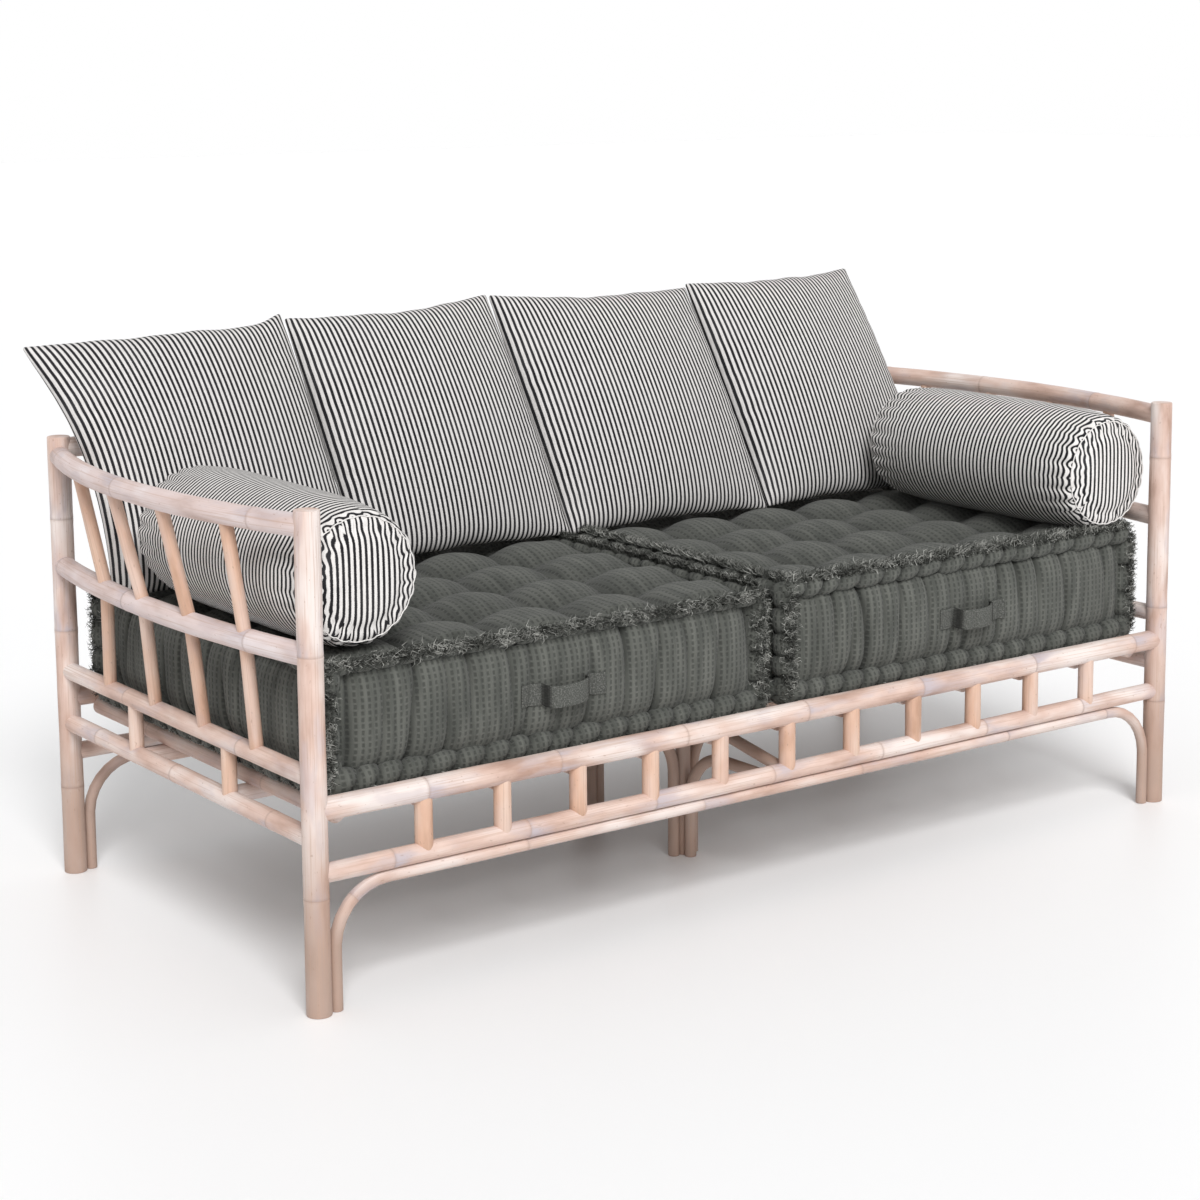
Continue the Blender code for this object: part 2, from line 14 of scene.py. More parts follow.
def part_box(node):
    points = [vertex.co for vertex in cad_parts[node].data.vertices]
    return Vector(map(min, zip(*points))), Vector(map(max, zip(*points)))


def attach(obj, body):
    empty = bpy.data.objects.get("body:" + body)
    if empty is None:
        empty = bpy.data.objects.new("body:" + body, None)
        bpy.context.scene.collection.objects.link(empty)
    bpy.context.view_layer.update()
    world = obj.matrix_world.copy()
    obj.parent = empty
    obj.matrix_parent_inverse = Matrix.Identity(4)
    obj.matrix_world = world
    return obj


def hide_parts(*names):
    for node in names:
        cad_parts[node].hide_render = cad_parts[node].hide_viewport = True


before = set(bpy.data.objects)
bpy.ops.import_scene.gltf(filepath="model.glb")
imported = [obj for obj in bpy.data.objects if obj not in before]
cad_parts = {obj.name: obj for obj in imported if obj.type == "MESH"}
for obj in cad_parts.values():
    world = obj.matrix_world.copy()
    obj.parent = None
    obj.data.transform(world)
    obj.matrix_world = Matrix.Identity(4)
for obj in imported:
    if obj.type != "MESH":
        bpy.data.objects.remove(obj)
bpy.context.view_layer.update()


# Corner posts: four thick rattan poles, whitewashed so that the pink skin shows through in
# patches, and darker and browner toward the floor. Each stands on its cut foot and rises just
# past the arm rails, with its rim eased.
class Socket:
    """One output in a material's nodes. Arithmetic on it adds Math nodes."""

    def __init__(self, tree, output=None):
        self.tree = tree
        self.output = output

    def node(self, kind, settings, inputs, output=0):
        made = self.tree.nodes.new(kind)
        for name, value in settings.items():
            if name == "stops":
                stops = made.color_ramp.elements
                stops.remove(stops[1])
                stops[0].position = value[0][0]
                stops[0].color = (*value[0][1], 1)
                for place, colour in value[1:]:
                    stops.new(place).color = (*colour, 1)
            else:
                setattr(made, name, value)
        for key, value in inputs.items():
            if isinstance(value, Socket):
                self.tree.links.new(value.output, made.inputs[key])
            else:
                made.inputs[key].default_value = value
        return Socket(self.tree, made.outputs[output])

    def math(self, operation, first, second=0.0):
        return self.node("ShaderNodeMath", {"operation": operation}, {0: first, 1: second})

    def __add__(self, other):
        return self.math("ADD", self, other)

    def __radd__(self, other):
        return self.math("ADD", other, self)

    def __sub__(self, other):
        return self.math("SUBTRACT", self, other)

    def __rsub__(self, other):
        return self.math("SUBTRACT", other, self)

    def __mul__(self, other):
        return self.math("MULTIPLY", self, other)

    def __rmul__(self, other):
        return self.math("MULTIPLY", other, self)

    def __abs__(self):
        return self.math("ABSOLUTE", self)

    def between(self, low, high):
        """0 below low, 1 above high, smooth in between."""
        inputs = {"Value": self, "From Min": low, "From Max": high}
        return self.node("ShaderNodeMapRange", {"interpolation_type": "SMOOTHSTEP"}, inputs)

    def noise(self, scale, detail=2.0):
        """Noise on this vector, with its own scale along each axis."""
        spread = self.node("ShaderNodeMapping", {}, {"Vector": self, "Scale": scale})
        return self.node("ShaderNodeTexNoise", {}, {"Vector": spread, "Scale": 1.0, "Detail": detail})

    def part(self, axis):
        """One measure of this vector: X, Y or Z."""
        return self.node("ShaderNodeSeparateXYZ", {}, {"Vector": self}, axis)

    def hoops(self, period):
        """Rises from 0 to 1 and falls back, once in every period."""
        return abs(self.math("SINE", self * (math.pi / period)))

    def blend(self, first, second):
        """The first colour where this is 0, the second where it is 1."""
        settings = {"data_type": "RGBA"}
        return self.node("ShaderNodeMix", settings, {0: self, 6: first, 7: second}, 2)

    def painted(self, name, output="Fac"):
        """What a mesh carries under this name, as an attribute or a UV map."""
        return self.node("ShaderNodeAttribute", {"attribute_name": name}, {}, output)

    def into(self, target):
        self.tree.links.new(self.output, target)

    def emboss(self, shader, strength, distance):
        """Raises the shader's surface by this height."""
        inputs = {"Height": self, "Strength": strength, "Distance": distance}
        self.node("ShaderNodeBump", {}, inputs).into(shader.inputs["Normal"])


def new_finish(name, plain):
    """A material, a socket to start its nodes from, and its shader with its plain values set."""
    made = bpy.data.materials.new(name)
    made.use_nodes = True
    shader = made.node_tree.nodes["Principled BSDF"]
    for key, value in plain.items():
        shader.inputs[key].default_value = value
    return made, Socket(made.node_tree), shader


LILAC = (0.52, 0.45, 0.47, 1)
FOOT_BROWN = (0.36, 0.245, 0.19, 1)
STREAK = (0.47, 0.31, 0.23, 1)
SPECK = (0.36, 0.23, 0.17, 1)
RING_BROWN = (0.30, 0.20, 0.16, 1)


def rattan_finish(name, skin, wash, white):
    """Whitewashed rattan: patches of wash over the skin's tones, streaks, and dark rings."""
    made, start, shader = new_finish(name, {"Specular IOR Level": 0.4})
    grain = start.painted("grain", "Vector")
    ring = start.painted("ring")
    smear = start.painted("smear")
    bare = start.painted("bare")
    patches = grain.noise((30, 30, 9), 4.0)
    clouds = grain.noise((16, 16, 5), 3.0)
    greys = grain.noise((34, 34, 11), 3.0)
    streaks = grain.noise((520, 520, 7), 3.0)
    fibres = grain.noise((1500, 1500, 16), 2.0)
    specks = grain.noise((260, 260, 120), 1.0)
    tone = patches.node("ShaderNodeValToRGB", {"stops": skin}, {"Fac": patches})
    washed = (clouds.between(0.46, 0.66) * wash).blend(tone, white)
    smudge = (greys.between(0.50, 0.66) * 0.55 + smear * greys.between(0.38, 0.60)) * wash
    lilac = (smudge * 0.75).blend(washed, LILAC)
    # Darker and browner low on the pole, below the height its foot gives.
    browned_low = (bare * (0.50 + patches * 0.60)).blend(lilac, FOOT_BROWN)
    streaked = (streaks.between(0.50, 0.68) * 0.46).blend(browned_low, STREAK)
    speckled = (specks.between(0.70, 0.78) * 0.5).blend(streaked, SPECK)
    worn = (ring * (0.15 + patches * 0.65)).blend(speckled, RING_BROWN)
    worn.into(shader.inputs["Base Color"])
    (0.46 + fibres * 0.22).into(shader.inputs["Roughness"])
    (streaks * 0.6 + fibres * 0.4 - ring * 0.8).emboss(shader, 0.45, 0.0007)
    return made


POLE_STOPS = [
    (0.30, (0.45, 0.29, 0.23)),
    (0.44, (0.62, 0.44, 0.37)),
    (0.56, (0.70, 0.53, 0.46)),
    (0.70, (0.76, 0.64, 0.59)),
]
POLE_FINISH = rattan_finish("whitewashed_rattan", POLE_STOPS, 1.0, (0.80, 0.71, 0.67, 1))
POLE_SIDES = 24
POLE_SPACING = 0.022
POLE_UNEVEN = ((0.010, 19, 1), (0.006, 47, 2))
RING_REACH = 0.010
RING_CUTS = (-1, -0.45, -0.12, 0, 0.12, 0.45, 1)
RING_SWELL = 0.055
RING_GROOVE = 0.05
GROOVE_REACH = 0.2 * RING_REACH
RING_LINE = 0.0022
SMEAR_REACH = 0.055
RIM_EASE = 0.0016
SMOOTH_ANGLE = math.radians(40)
draws = random.Random(7)


def select_edges(piece, wanted):
    """In edit mode, selects just the edges for which wanted(first, second) is true."""
    bpy.ops.mesh.select_mode(type="EDGE")
    bpy.ops.mesh.select_all(action="DESELECT")
    shaping = bmesh.from_edit_mesh(piece.data)
    for edge in shaping.edges:
        edge.select_set(wanted(*(point.co for point in edge.verts)))
    bmesh.update_edit_mesh(piece.data)


def places_of(piece):
    """The piece's points as one array."""
    places = np.empty(len(piece.data.vertices) * 3)
    piece.data.vertices.foreach_get("co", places)
    return places.reshape(-1, 3)


def set_places(piece, places):
    piece.data.vertices.foreach_set("co", np.ascontiguousarray(places).ravel())
    piece.data.update()


def paint(piece, name, values):
    """Writes a number on each point of the piece, for its finish to read."""
    layer = piece.data.attributes.new(name, "FLOAT", "POINT")
    layer.data.foreach_set("value", values.astype(np.float32).ravel())


def straight_cane(name, length, radius, rings, spacing):
    """A pole that stands on zero along Z, with swollen rings where its leaves grew."""
    bpy.ops.object.select_all(action="DESELECT")
    bpy.ops.mesh.primitive_cylinder_add(vertices=POLE_SIDES, radius=radius, depth=length)
    cane = bpy.context.object
    cane.name = name
    cane.location = (0, 0, length / 2)
    bpy.ops.object.transform_apply(location=True)
    bpy.ops.object.mode_set(mode="EDIT")
    select_edges(cane, lambda first, second: abs(first.z - second.z) < 1e-6)
    bpy.ops.mesh.bevel(offset=RIM_EASE, segments=2)
    select_edges(cane, lambda first, second: abs(first.z - second.z) > length / 2)
    bpy.ops.mesh.subdivide(number_cuts=max(2, round(length / spacing)))
    for ring in rings:
        for share in RING_CUTS:
            bpy.ops.mesh.select_all(action="SELECT")
            bpy.ops.mesh.bisect(plane_co=(0, 0, ring + share * RING_REACH), plane_no=(0, 0, 1))
    bpy.ops.object.mode_set(mode="OBJECT")
    places = places_of(cane)
    height = places[:, 2]
    nearest = np.full(len(places), 1.0)
    past = np.full(len(places), 1.0)
    for ring in rings:
        nearest = np.minimum(nearest, np.abs(height - ring))
        past = np.minimum(past, np.where(height >= ring, height - ring, 1.0))
    phase = draws.uniform(0, 6)
    girth = np.ones(len(places))
    for depth, rate, turn in POLE_UNEVEN:
        girth += depth * np.sin(height * rate + turn * phase)
    girth += RING_SWELL * np.clip(1 - nearest / RING_REACH, 0, 1) ** 2
    girth -= RING_GROOVE * np.clip(1 - nearest / GROOVE_REACH, 0, 1)
    places[:, :2] *= girth[:, None]
    set_places(cane, places)
    start = Vector((draws.uniform(0, 9), draws.uniform(0, 9), draws.uniform(0, 9)))
    grain = cane.data.attributes.new("grain", "FLOAT_VECTOR", "POINT")
    grain.data.foreach_set("vector", (places + np.array(start)).astype(np.float32).ravel())
    paint(cane, "ring", np.clip(1 - nearest / RING_LINE, 0, 1))
    paint(cane, "smear", np.clip(1 - past / SMEAR_REACH, 0, 1))
    return cane


def path_length(path):
    return sum((Vector(second) - Vector(first)).length for first, second in zip(path, path[1:]))


def bend_along(cane, path):
    """Bends a standing pole along the points of its path, with a curve that is then removed."""
    line = bpy.data.curves.new("line", "CURVE")
    line.dimensions = "3D"
    spline = line.splines.new("POLY")
    spline.points.add(len(path) - 1)
    for point, place in zip(spline.points, path):
        point.co = (*place, 1)
    guide = bpy.data.objects.new("line", line)
    bpy.context.scene.collection.objects.link(guide)
    follow = cane.modifiers.new("follow", "CURVE")
    follow.object = guide
    follow.deform_axis = "POS_Z"
    bpy.context.view_layer.objects.active = cane
    bpy.ops.object.modifier_apply(modifier="follow")
    bpy.data.objects.remove(guide)


def dress(piece, finish, body):
    """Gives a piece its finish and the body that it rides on."""
    piece.data.materials.append(finish)
    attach(piece, body)


def cane_pole(name, path, radius, rings=(), finish=POLE_FINISH, spacing=POLE_SPACING, foot=None):
    """A finished pole along its path, riding on the frame. A foot gives the height below which the
    pole turns darker and browner, and the height over which that fades."""
    path = [Vector(place) for place in path]
    cane = straight_cane(name, path_length(path), radius, rings, spacing)
    if len(path) == 2:
        cane.rotation_mode = "QUATERNION"
        cane.rotation_quaternion = (path[1] - path[0]).to_track_quat("Z", "Y")
        cane.location = path[0]
        bpy.ops.object.transform_apply(location=True, rotation=True)
    else:
        bend_along(cane, path)
    bpy.ops.object.shade_smooth_by_angle(angle=SMOOTH_ANGLE)
    if foot:
        height, fading = foot
        paint(cane, "bare", np.clip((height - places_of(cane)[:, 2]) / fading, 0, 1))
    dress(cane, finish, "frame")
    return cane


def axis_of(node):
    low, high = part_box(node)
    return (low + high) / 2


def radius_of(node, axis):
    """Radius of a pole, from its box across the pole."""
    low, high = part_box(node)
    return (high - low)[axis] / 2


POST_RINGS = {
    "front_left": (0.175, 0.530),
    "front_right": (0.190, 0.365, 0.640),
    "rear_left": (0.150, 0.420, 0.610),
    "rear_right": (0.240, 0.480),
}
POST_FOOT = (0.34, 0.24)
for corner, rings in POST_RINGS.items():
    node = f"{corner}_post"
    foot = axis_of(node) * Vector((1, 1, 0))
    ends = [foot, foot + Vector((0, 0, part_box(node)[1].z))]
    post = cane_pole(f"{node}_cane", ends, radius_of(node, 0), rings, foot=POST_FOOT)
    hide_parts(node)


# Front rails: a thick upper rail and a thinner lower one run from post to post, their ends
# running into the posts. The rings fall where each length of cane grew them.
LEFT_AXIS = axis_of("front_left_post").x
RIGHT_AXIS = axis_of("front_right_post").x
FRONT_AXIS = axis_of("front_left_post").y
REAR_AXIS = axis_of("rear_left_post").y


def long_rail(node, rings):
    middle = axis_of(node)
    ends = [(x, middle.y, middle.z) for x in (LEFT_AXIS, RIGHT_AXIS)]
    rail = cane_pole(f"{node}_cane", ends, radius_of(node, 2), rings)
    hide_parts(node)


long_rail("front_upper_rail", (0.183, 0.421, 0.664, 0.914, 1.169, 1.436, 1.690))
long_rail("front_lower_rail", (0.125, 0.364, 0.603, 0.844, 1.079, 1.321, 1.559))


# Arches: one thin cane, steamed and bent down at both ends, stands beside each pair of posts
# and stiffens the lower rail that it runs under.
ARCH_BEND = 0.090
ARCH_STEPS = 14
BEND_SPACING = 0.011
ARCH_FOOT = (0.205, 0.10)


def quarter_bend(start, corner, end):
    """Points from start to end, with a round bend at the corner."""
    start, corner, end = Vector(start), Vector(corner), Vector(end)
    back = (start - corner).normalized()
    onward = (end - corner).normalized()
    centre = corner + (back + onward) * ARCH_BEND
    points = [start]
    for step in range(ARCH_STEPS + 1):
        angle = math.pi / 2 * step / ARCH_STEPS
        points.append(centre - onward * ARCH_BEND * math.cos(angle) - back * ARCH_BEND * math.sin(angle))
    return points + [end]


def arch(node, rings):
    low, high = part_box(node)
    middle = axis_of(node)
    radius = radius_of(node, 1)
    halves = []
    for x in (low.x + radius, high.x - radius):
        top = (x, middle.y, high.z - radius)
        halves.append(quarter_bend((x, middle.y, 0), top, (middle.x, middle.y, high.z - radius)))
    left, right = halves
    path = left + right[-2::-1]
    bent = cane_pole(f"{node}_cane", path, radius, rings, spacing=BEND_SPACING, foot=ARCH_FOOT)
    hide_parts(node)


arch("front_arch", (0.173, 0.480, 0.820, 1.155, 1.496, 1.743))
arch("rear_arch", (0.240, 0.560, 0.910, 1.230, 1.570))


# Front spindles: short lengths of barer, warmer cane stand between the two front rails, their
# ends running into the rails.
SPINDLE_STOPS = [
    (0.30, (0.48, 0.29, 0.20)),
    (0.45, (0.63, 0.40, 0.29)),
    (0.60, (0.68, 0.47, 0.36)),
    (0.76, (0.72, 0.56, 0.47)),
]
SPINDLE_FINISH = rattan_finish("bare_rattan", SPINDLE_STOPS, 0.4, (0.77, 0.67, 0.63, 1))
FRONT_SPINDLES = [node for node in sorted(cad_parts) if node.startswith("front_spindle")]
for node in FRONT_SPINDLES:
    x = axis_of(node).x
    ends = [(x, FRONT_AXIS, axis_of(f"front_{rail}_rail").z) for rail in ("lower", "upper")]
    spindle = cane_pole(f"{node}_cane", ends, radius_of(node, 0), finish=SPINDLE_FINISH)
    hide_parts(node)


# Arms: a top and a middle rail bent outward in one long bow, two straight side rails below
# them, and spindles that splay from the side rail up to the bowed ones. The left arm's bowed
# rails are paler and greyer, partly from a paler wash and partly as painted light.
PALE_STOPS = [
    (0.30, (0.51, 0.38, 0.34)),
    (0.45, (0.65, 0.52, 0.49)),
    (0.58, (0.70, 0.58, 0.56)),
    (0.72, (0.74, 0.64, 0.63)),
]
PALE_FINISH = rattan_finish("pale_rattan", PALE_STOPS, 1.0, (0.77, 0.69, 0.69, 1))
SIDES = ("left", "right")
ARM_SPINDLES = 4
ARM_SPINDLE_RADIUS = 0.0105
ARM_SPINDLE_LEAN = 0.10
SHORT_SPINDLE_RADIUS = 0.012
SHORT_SPINDLE_SPREAD = 0.316
SHORT_SPINDLES = 2
BOW_STEPS = 36
BOW_SPACING = 0.014
ARM_RINGS = {"left": (0.105, 0.470, 0.780), "right": (0.210, 0.520, 0.760)}
ARM_RING_SHIFT = {"top": 0, "middle": 0.03}
SIDE_RINGS = {"upper": (0.210, 0.590), "lower": (0.120, 0.430, 0.700)}
FRAME_DEPTH = REAR_AXIS - FRONT_AXIS


def bow_point(side, rail, share):
    """A point on a bowed rail's axis, at this share of the way from front post to rear post."""
    node = f"{side}_arm_{rail}_rail"
    low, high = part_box(node)
    radius = radius_of(node, 2)
    if side == "left":
        reach = low.x + radius - LEFT_AXIS
        start = LEFT_AXIS
    else:
        reach = high.x - radius - RIGHT_AXIS
        start = RIGHT_AXIS
    x = start + reach * 4 * share * (1 - share)
    return Vector((x, FRONT_AXIS + FRAME_DEPTH * share, axis_of(node).z))


for side in SIDES:
    for rail, shift in ARM_RING_SHIFT.items():
        node = f"{side}_arm_{rail}_rail"
        bow = [bow_point(side, rail, step / BOW_STEPS) for step in range(BOW_STEPS + 1)]
        rings = [ring + shift for ring in ARM_RINGS[side]]
        # Painted light in part: the left bowed rails take the paler, greyer copy of the finish.
        finish = PALE_FINISH if side == "left" else POLE_FINISH
        piece = cane_pole(f"{node}_cane", bow, radius_of(node, 2), rings, finish, BOW_SPACING)
        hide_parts(node)
    post_x = LEFT_AXIS if side == "left" else RIGHT_AXIS
    radius = radius_of(f"{side}_side_upper_rail", 2)
    heights = {
        "upper": axis_of(f"{side}_side_upper_rail").z,
        "lower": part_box(f"{side}_side_lower_rail")[0].z + radius,
    }
    for rail, rings in SIDE_RINGS.items():
        node = f"{side}_side_{rail}_rail"
        ends = [(post_x, y, heights[rail]) for y in (FRONT_AXIS, REAR_AXIS)]
        piece = cane_pole(f"{node}_cane", ends, radius, rings)
        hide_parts(node)
    for number in range(1, SHORT_SPINDLES + 1):
        y = (FRONT_AXIS + REAR_AXIS) / 2 + SHORT_SPINDLE_SPREAD * (number - 1.5)
        ends = [(post_x, y, heights["lower"]), (post_x, y, heights["upper"])]
        cane_pole(f"{side}_short_spindle_{number}_cane", ends, SHORT_SPINDLE_RADIUS, finish=SPINDLE_FINISH)
    for number in range(1, ARM_SPINDLES + 1):
        share = number / (ARM_SPINDLES + 1)
        foot = Vector((post_x, FRONT_AXIS + FRAME_DEPTH * share, heights["upper"]))
        waist = bow_point(side, "middle", share * (1 - ARM_SPINDLE_LEAN))
        head = bow_point(side, "top", share)
        for part, ends in (("lower", [foot, waist]), ("upper", [waist, head])):
            node = f"{side}_arm_{part}_spindle_{number}"
            piece = cane_pole(f"{node}_cane", ends, ARM_SPINDLE_RADIUS, finish=SPINDLE_FINISH)
            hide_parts(node)


# Rear frame: a top rail for the back cushions to lean on, a seat rail with tall spindles up to
# it, and a lower rail, all fitted to the rear posts as the front is.
BACK_SPINDLE_RADIUS = 0.0105
TOP_HEIGHT = axis_of("rear_top_rail").z
long_rail("rear_top_rail", (0.240, 0.560, 0.890, 1.220, 1.540))
long_rail("rear_lower_rail", (0.180, 0.470, 0.800, 1.110, 1.450))
seat_rail_radius = radius_of("front_upper_rail", 2)
seat_rail_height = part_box("rear_seat_rail")[0].z + seat_rail_radius
ends = [(x, REAR_AXIS, seat_rail_height) for x in (LEFT_AXIS, RIGHT_AXIS)]
rings = (0.150, 0.490, 0.830, 1.180, 1.510)
rear_seat_rail = cane_pole("rear_seat_rail_cane", ends, seat_rail_radius, rings)
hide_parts("rear_seat_rail")
for node in FRONT_SPINDLES:
    x = axis_of(node).x
    ends = [(x, REAR_AXIS, seat_rail_height), (x, REAR_AXIS, TOP_HEIGHT)]
    rings = [draws.uniform(0.10, 0.32)]
    cane_pole(node.replace("front", "back") + "_cane", ends, BACK_SPINDLE_RADIUS, rings, SPINDLE_FINISH)


# Seat deck: two beams between the side rails carry a row of poles, nailed across them from
# front to back, for the seat cushions to lie on.
BEAM_RADIUS = 0.0135
DECK_POLES = 13
DECK_POLE_RADIUS = 0.014
DECK_EDGE_GAP = 0.048
BEAM_SHARES = {"front": 1 / 3, "rear": 2 / 3}
deck_low, deck_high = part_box("seat_deck")
beam_height = deck_low.z + BEAM_RADIUS
for row, share in BEAM_SHARES.items():
    y = FRONT_AXIS + FRAME_DEPTH * share
    ends = [(x, y, beam_height) for x in (LEFT_AXIS, RIGHT_AXIS)]
    beam = cane_pole(f"{row}_beam_cane", ends, BEAM_RADIUS, (0.310, 0.700, 1.090, 1.480))
    if row == "front":
        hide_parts("seat_deck")
deck_width = RIGHT_AXIS - LEFT_AXIS - 2 * DECK_EDGE_GAP
for number in range(DECK_POLES):
    x = LEFT_AXIS + DECK_EDGE_GAP + deck_width * number / (DECK_POLES - 1)
    ends = [(x, y, deck_high.z - DECK_POLE_RADIUS) for y in (deck_low.y, deck_high.y)]
    rings = [draws.uniform(0.10, 0.30), draws.uniform(0.45, 0.70)]
    cane_pole(f"deck_pole_{number + 1:02d}_cane", ends, DECK_POLE_RADIUS, rings)


# Centre legs: a straight leg under each beam, with thin bent canes beside it that run out under
# the beam, and a thin stretcher from the front lower rail up to the front leg.
CENTRE_LEG_RADIUS = 0.013
KNEE_RADIUS = 0.010
KNEE_SINK = 0.0025
STRETCHER_RISE = 0.046
FRONT_KNEE_RISE = 0.004
LEG_FOOT = (0.45, 0.18)
centre_x = (LEFT_AXIS + RIGHT_AXIS) / 2
knee_inset = CENTRE_LEG_RADIUS + KNEE_RADIUS - KNEE_SINK
knee_height = beam_height - BEAM_RADIUS - KNEE_RADIUS
lower_rail = axis_of("front_lower_rail")
for row, share in BEAM_SHARES.items():
    node = f"centre_leg_{row}"
    low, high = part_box(node)
    y = FRONT_AXIS + FRAME_DEPTH * share
    ends = [(centre_x, y, 0), (centre_x, y, beam_height)]
    leg = cane_pole(f"{node}_cane", ends, CENTRE_LEG_RADIUS, (0.090,), foot=LEG_FOOT)
    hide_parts(node)
    for side, outward, tip in (("left", -1, low.x), ("right", 1, high.x)):
        stem = centre_x + outward * knee_inset
        bent = quarter_bend((stem, y, 0), (stem, y, knee_height), (tip, y, knee_height))
        name = f"{row}_{side}_knee_cane"
        cane_pole(name, bent, KNEE_RADIUS, (0.120, 0.300), spacing=BEND_SPACING, foot=LEG_FOOT)
front_beam_y = FRONT_AXIS + FRAME_DEPTH / 3
front_stem = front_beam_y - knee_inset
front_knee_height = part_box("front_arch")[1].z - KNEE_RADIUS + FRONT_KNEE_RISE
bent = quarter_bend(
    (centre_x, front_stem, 0),
    (centre_x, front_stem, front_knee_height),
    (centre_x, FRONT_AXIS, front_knee_height),
)
cane_pole("front_knee_cane", bent, KNEE_RADIUS, (0.110,), spacing=BEND_SPACING, foot=LEG_FOOT)
ends = [(centre_x, FRONT_AXIS, lower_rail.z), (centre_x, front_beam_y, lower_rail.z + STRETCHER_RISE)]
stretcher = cane_pole("centre_stretcher_cane", ends, KNEE_RADIUS, foot=LEG_FOOT)
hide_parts("centre_stretcher")


# Seat cushions: two deep mattress pads in charcoal waffle cloth, stuffed tight and tied through
# with sixteen tufts each. Every edge is whipped into a puffed roll, and the raw cloth beyond the
# stitches is left to fray into a fringe.
WAFFLE_ACROSS = 0.0102
WAFFLE_ALONG = 0.0096
YARN = 0.0013
SEAT_CELLS = (70, 66, 18)
ROLL_INSET = 0.020
ROLL_RADIUS = 0.0215
FOOT_ROLL_HEIGHT = 0.0245
TOP_ROLL_RADIUS = {"left": 0.0125, "right": 0.0170}
TOP_ROLL_DROP = {"left": 0.007, "right": 0.0}
ROLL_BEND = 0.030
ROLL_SIDES = 16
ROLL_STEP = 0.0026
PUFF_PITCH = 0.044
PUFF_SLANT = 0.42
WALL_INSET = 0.030
WALL_BULGE = 0.029
WALL_ROUND = 0.034
WALL_CUTS = 2
SEAT_TOP = 0.202
SEAT_DIP = 0.010
TUFTS = 4
TUFT_DEPTH = 0.018
HILL_HEIGHT = 0.036
HILL_FOOT = 0.020
FILL_STEPS = 20
RAIL_CLEARANCE = 0.0025
SEAT_FOOT = 0.002
SEAT_FILLING = {"pressure": 4.0, "cap": 0.025, "stiffness": 12.0}
SIDEWAYS_FILLING = 0.40
HILL_ROUND = 0.75
RIDGE_SHARE = 0.26
TUFT_REACH = 0.020
TUFT_HELD = 0.008
DIP_REACH = 0.050
RIM_HELD = 0.011
RIM_WIDTH = 0.012
VALLEY_DEPTH = 0.036
WALL_FACE = 0.0035
CREASE_SPACING = 0.050
CREASE_SPREAD = 0.024
CREASE_DEPTH = 0.020
CREASE_LEAST = 0.0015
CREASE_LEAN = 0.022
CREASE_BOW = 0.030
CREASE_SHARP = 0.0042
CREASE_SOFT = 0.017
ROLL_BEND_STEPS = 8
ROLL_PIECES = 16
PUFF_SPREAD = 0.011
PUFF_FAT = (0.90, 1.04)
CORNER_INSET = 0.009


def waffle_finish(name):
    """Charcoal waffle cloth: sunken cells between raised bars of yarn, faded where it rubs, painted darker in
    shade.
    """
    plain = {"Roughness": 0.92, "Specular IOR Level": 0.22, "Sheen Weight": 0.08, "Sheen Roughness": 0.6}
    made, start, shader = new_finish(name, plain)
    weave = start.painted("weave", "Vector")
    dull = start.painted("dull")
    stray = weave.noise((60, 60, 60), 2.0)
    fade = weave.noise((70, 9, 9), 3.0)
    lint = weave.noise((900, 900, 900), 2.0)
    across = weave.part("X") + stray * 0.0034
    along = weave.part("Y") + stray * 0.0030
    cell = across.hoops(WAFFLE_ACROSS).between(0.62, 1.00)
    pit = cell * along.hoops(WAFFLE_ALONG).between(0.25, 0.80)
    yarn = along.hoops(YARN)
    bars = fade.between(0.28, 0.72).blend((0.074, 0.078, 0.069, 1), (0.142, 0.146, 0.130, 1))
    ribbed = ((1 - yarn) * 0.30).blend(bars, (0.040, 0.043, 0.038, 1))
    linted = (lint.between(0.56, 0.80) * 0.35).blend(ribbed, (0.21, 0.21, 0.195, 1))
    pitted = (pit * 0.56).blend(linted, (0.026, 0.028, 0.025, 1))
    # Painted shade: the cloth goes nearly black where the mesh marks it as shaded.
    (dull * 0.34).blend(pitted, (0.016, 0.017, 0.015, 1)).into(shader.inputs["Base Color"])
    ((1 - pit) * 0.8 + yarn * 0.2 + lint * 0.15).emboss(shader, 0.75, 0.0016)
    return made


def fringe_finish(name):
    """Frayed yarn: dark at the seam and greyer at the tip, no two threads alike."""
    made, start, shader = new_finish(name, {"Roughness": 0.95, "Specular IOR Level": 0.15})
    shade = start.painted("shade")
    stops = [
        (0.0, (0.024, 0.025, 0.022)),
        (0.5, (0.120, 0.123, 0.112)),
        (1.0, (0.440, 0.440, 0.410)),
    ]
    shade.node("ShaderNodeValToRGB", {"stops": stops}, {"Fac": shade}).into(shader.inputs["Base Color"])
    return made


WAFFLE = waffle_finish("charcoal_waffle")
FRINGE = fringe_finish("frayed_yarn")


def corners_of(piece):
    """The point that each corner of each face stands on."""
    corners = np.empty(len(piece.data.loops), int)
    piece.data.loops.foreach_get("vertex_index", corners)
    return corners


def lay_weave(piece, laid):
    """Lays the weave's two measures on the corners of the piece's faces."""
    layers = piece.data.uv_layers
    weave = layers["weave"] if "weave" in layers else layers.new(name="weave")
    weave.data.foreach_set("uv", laid.ravel())


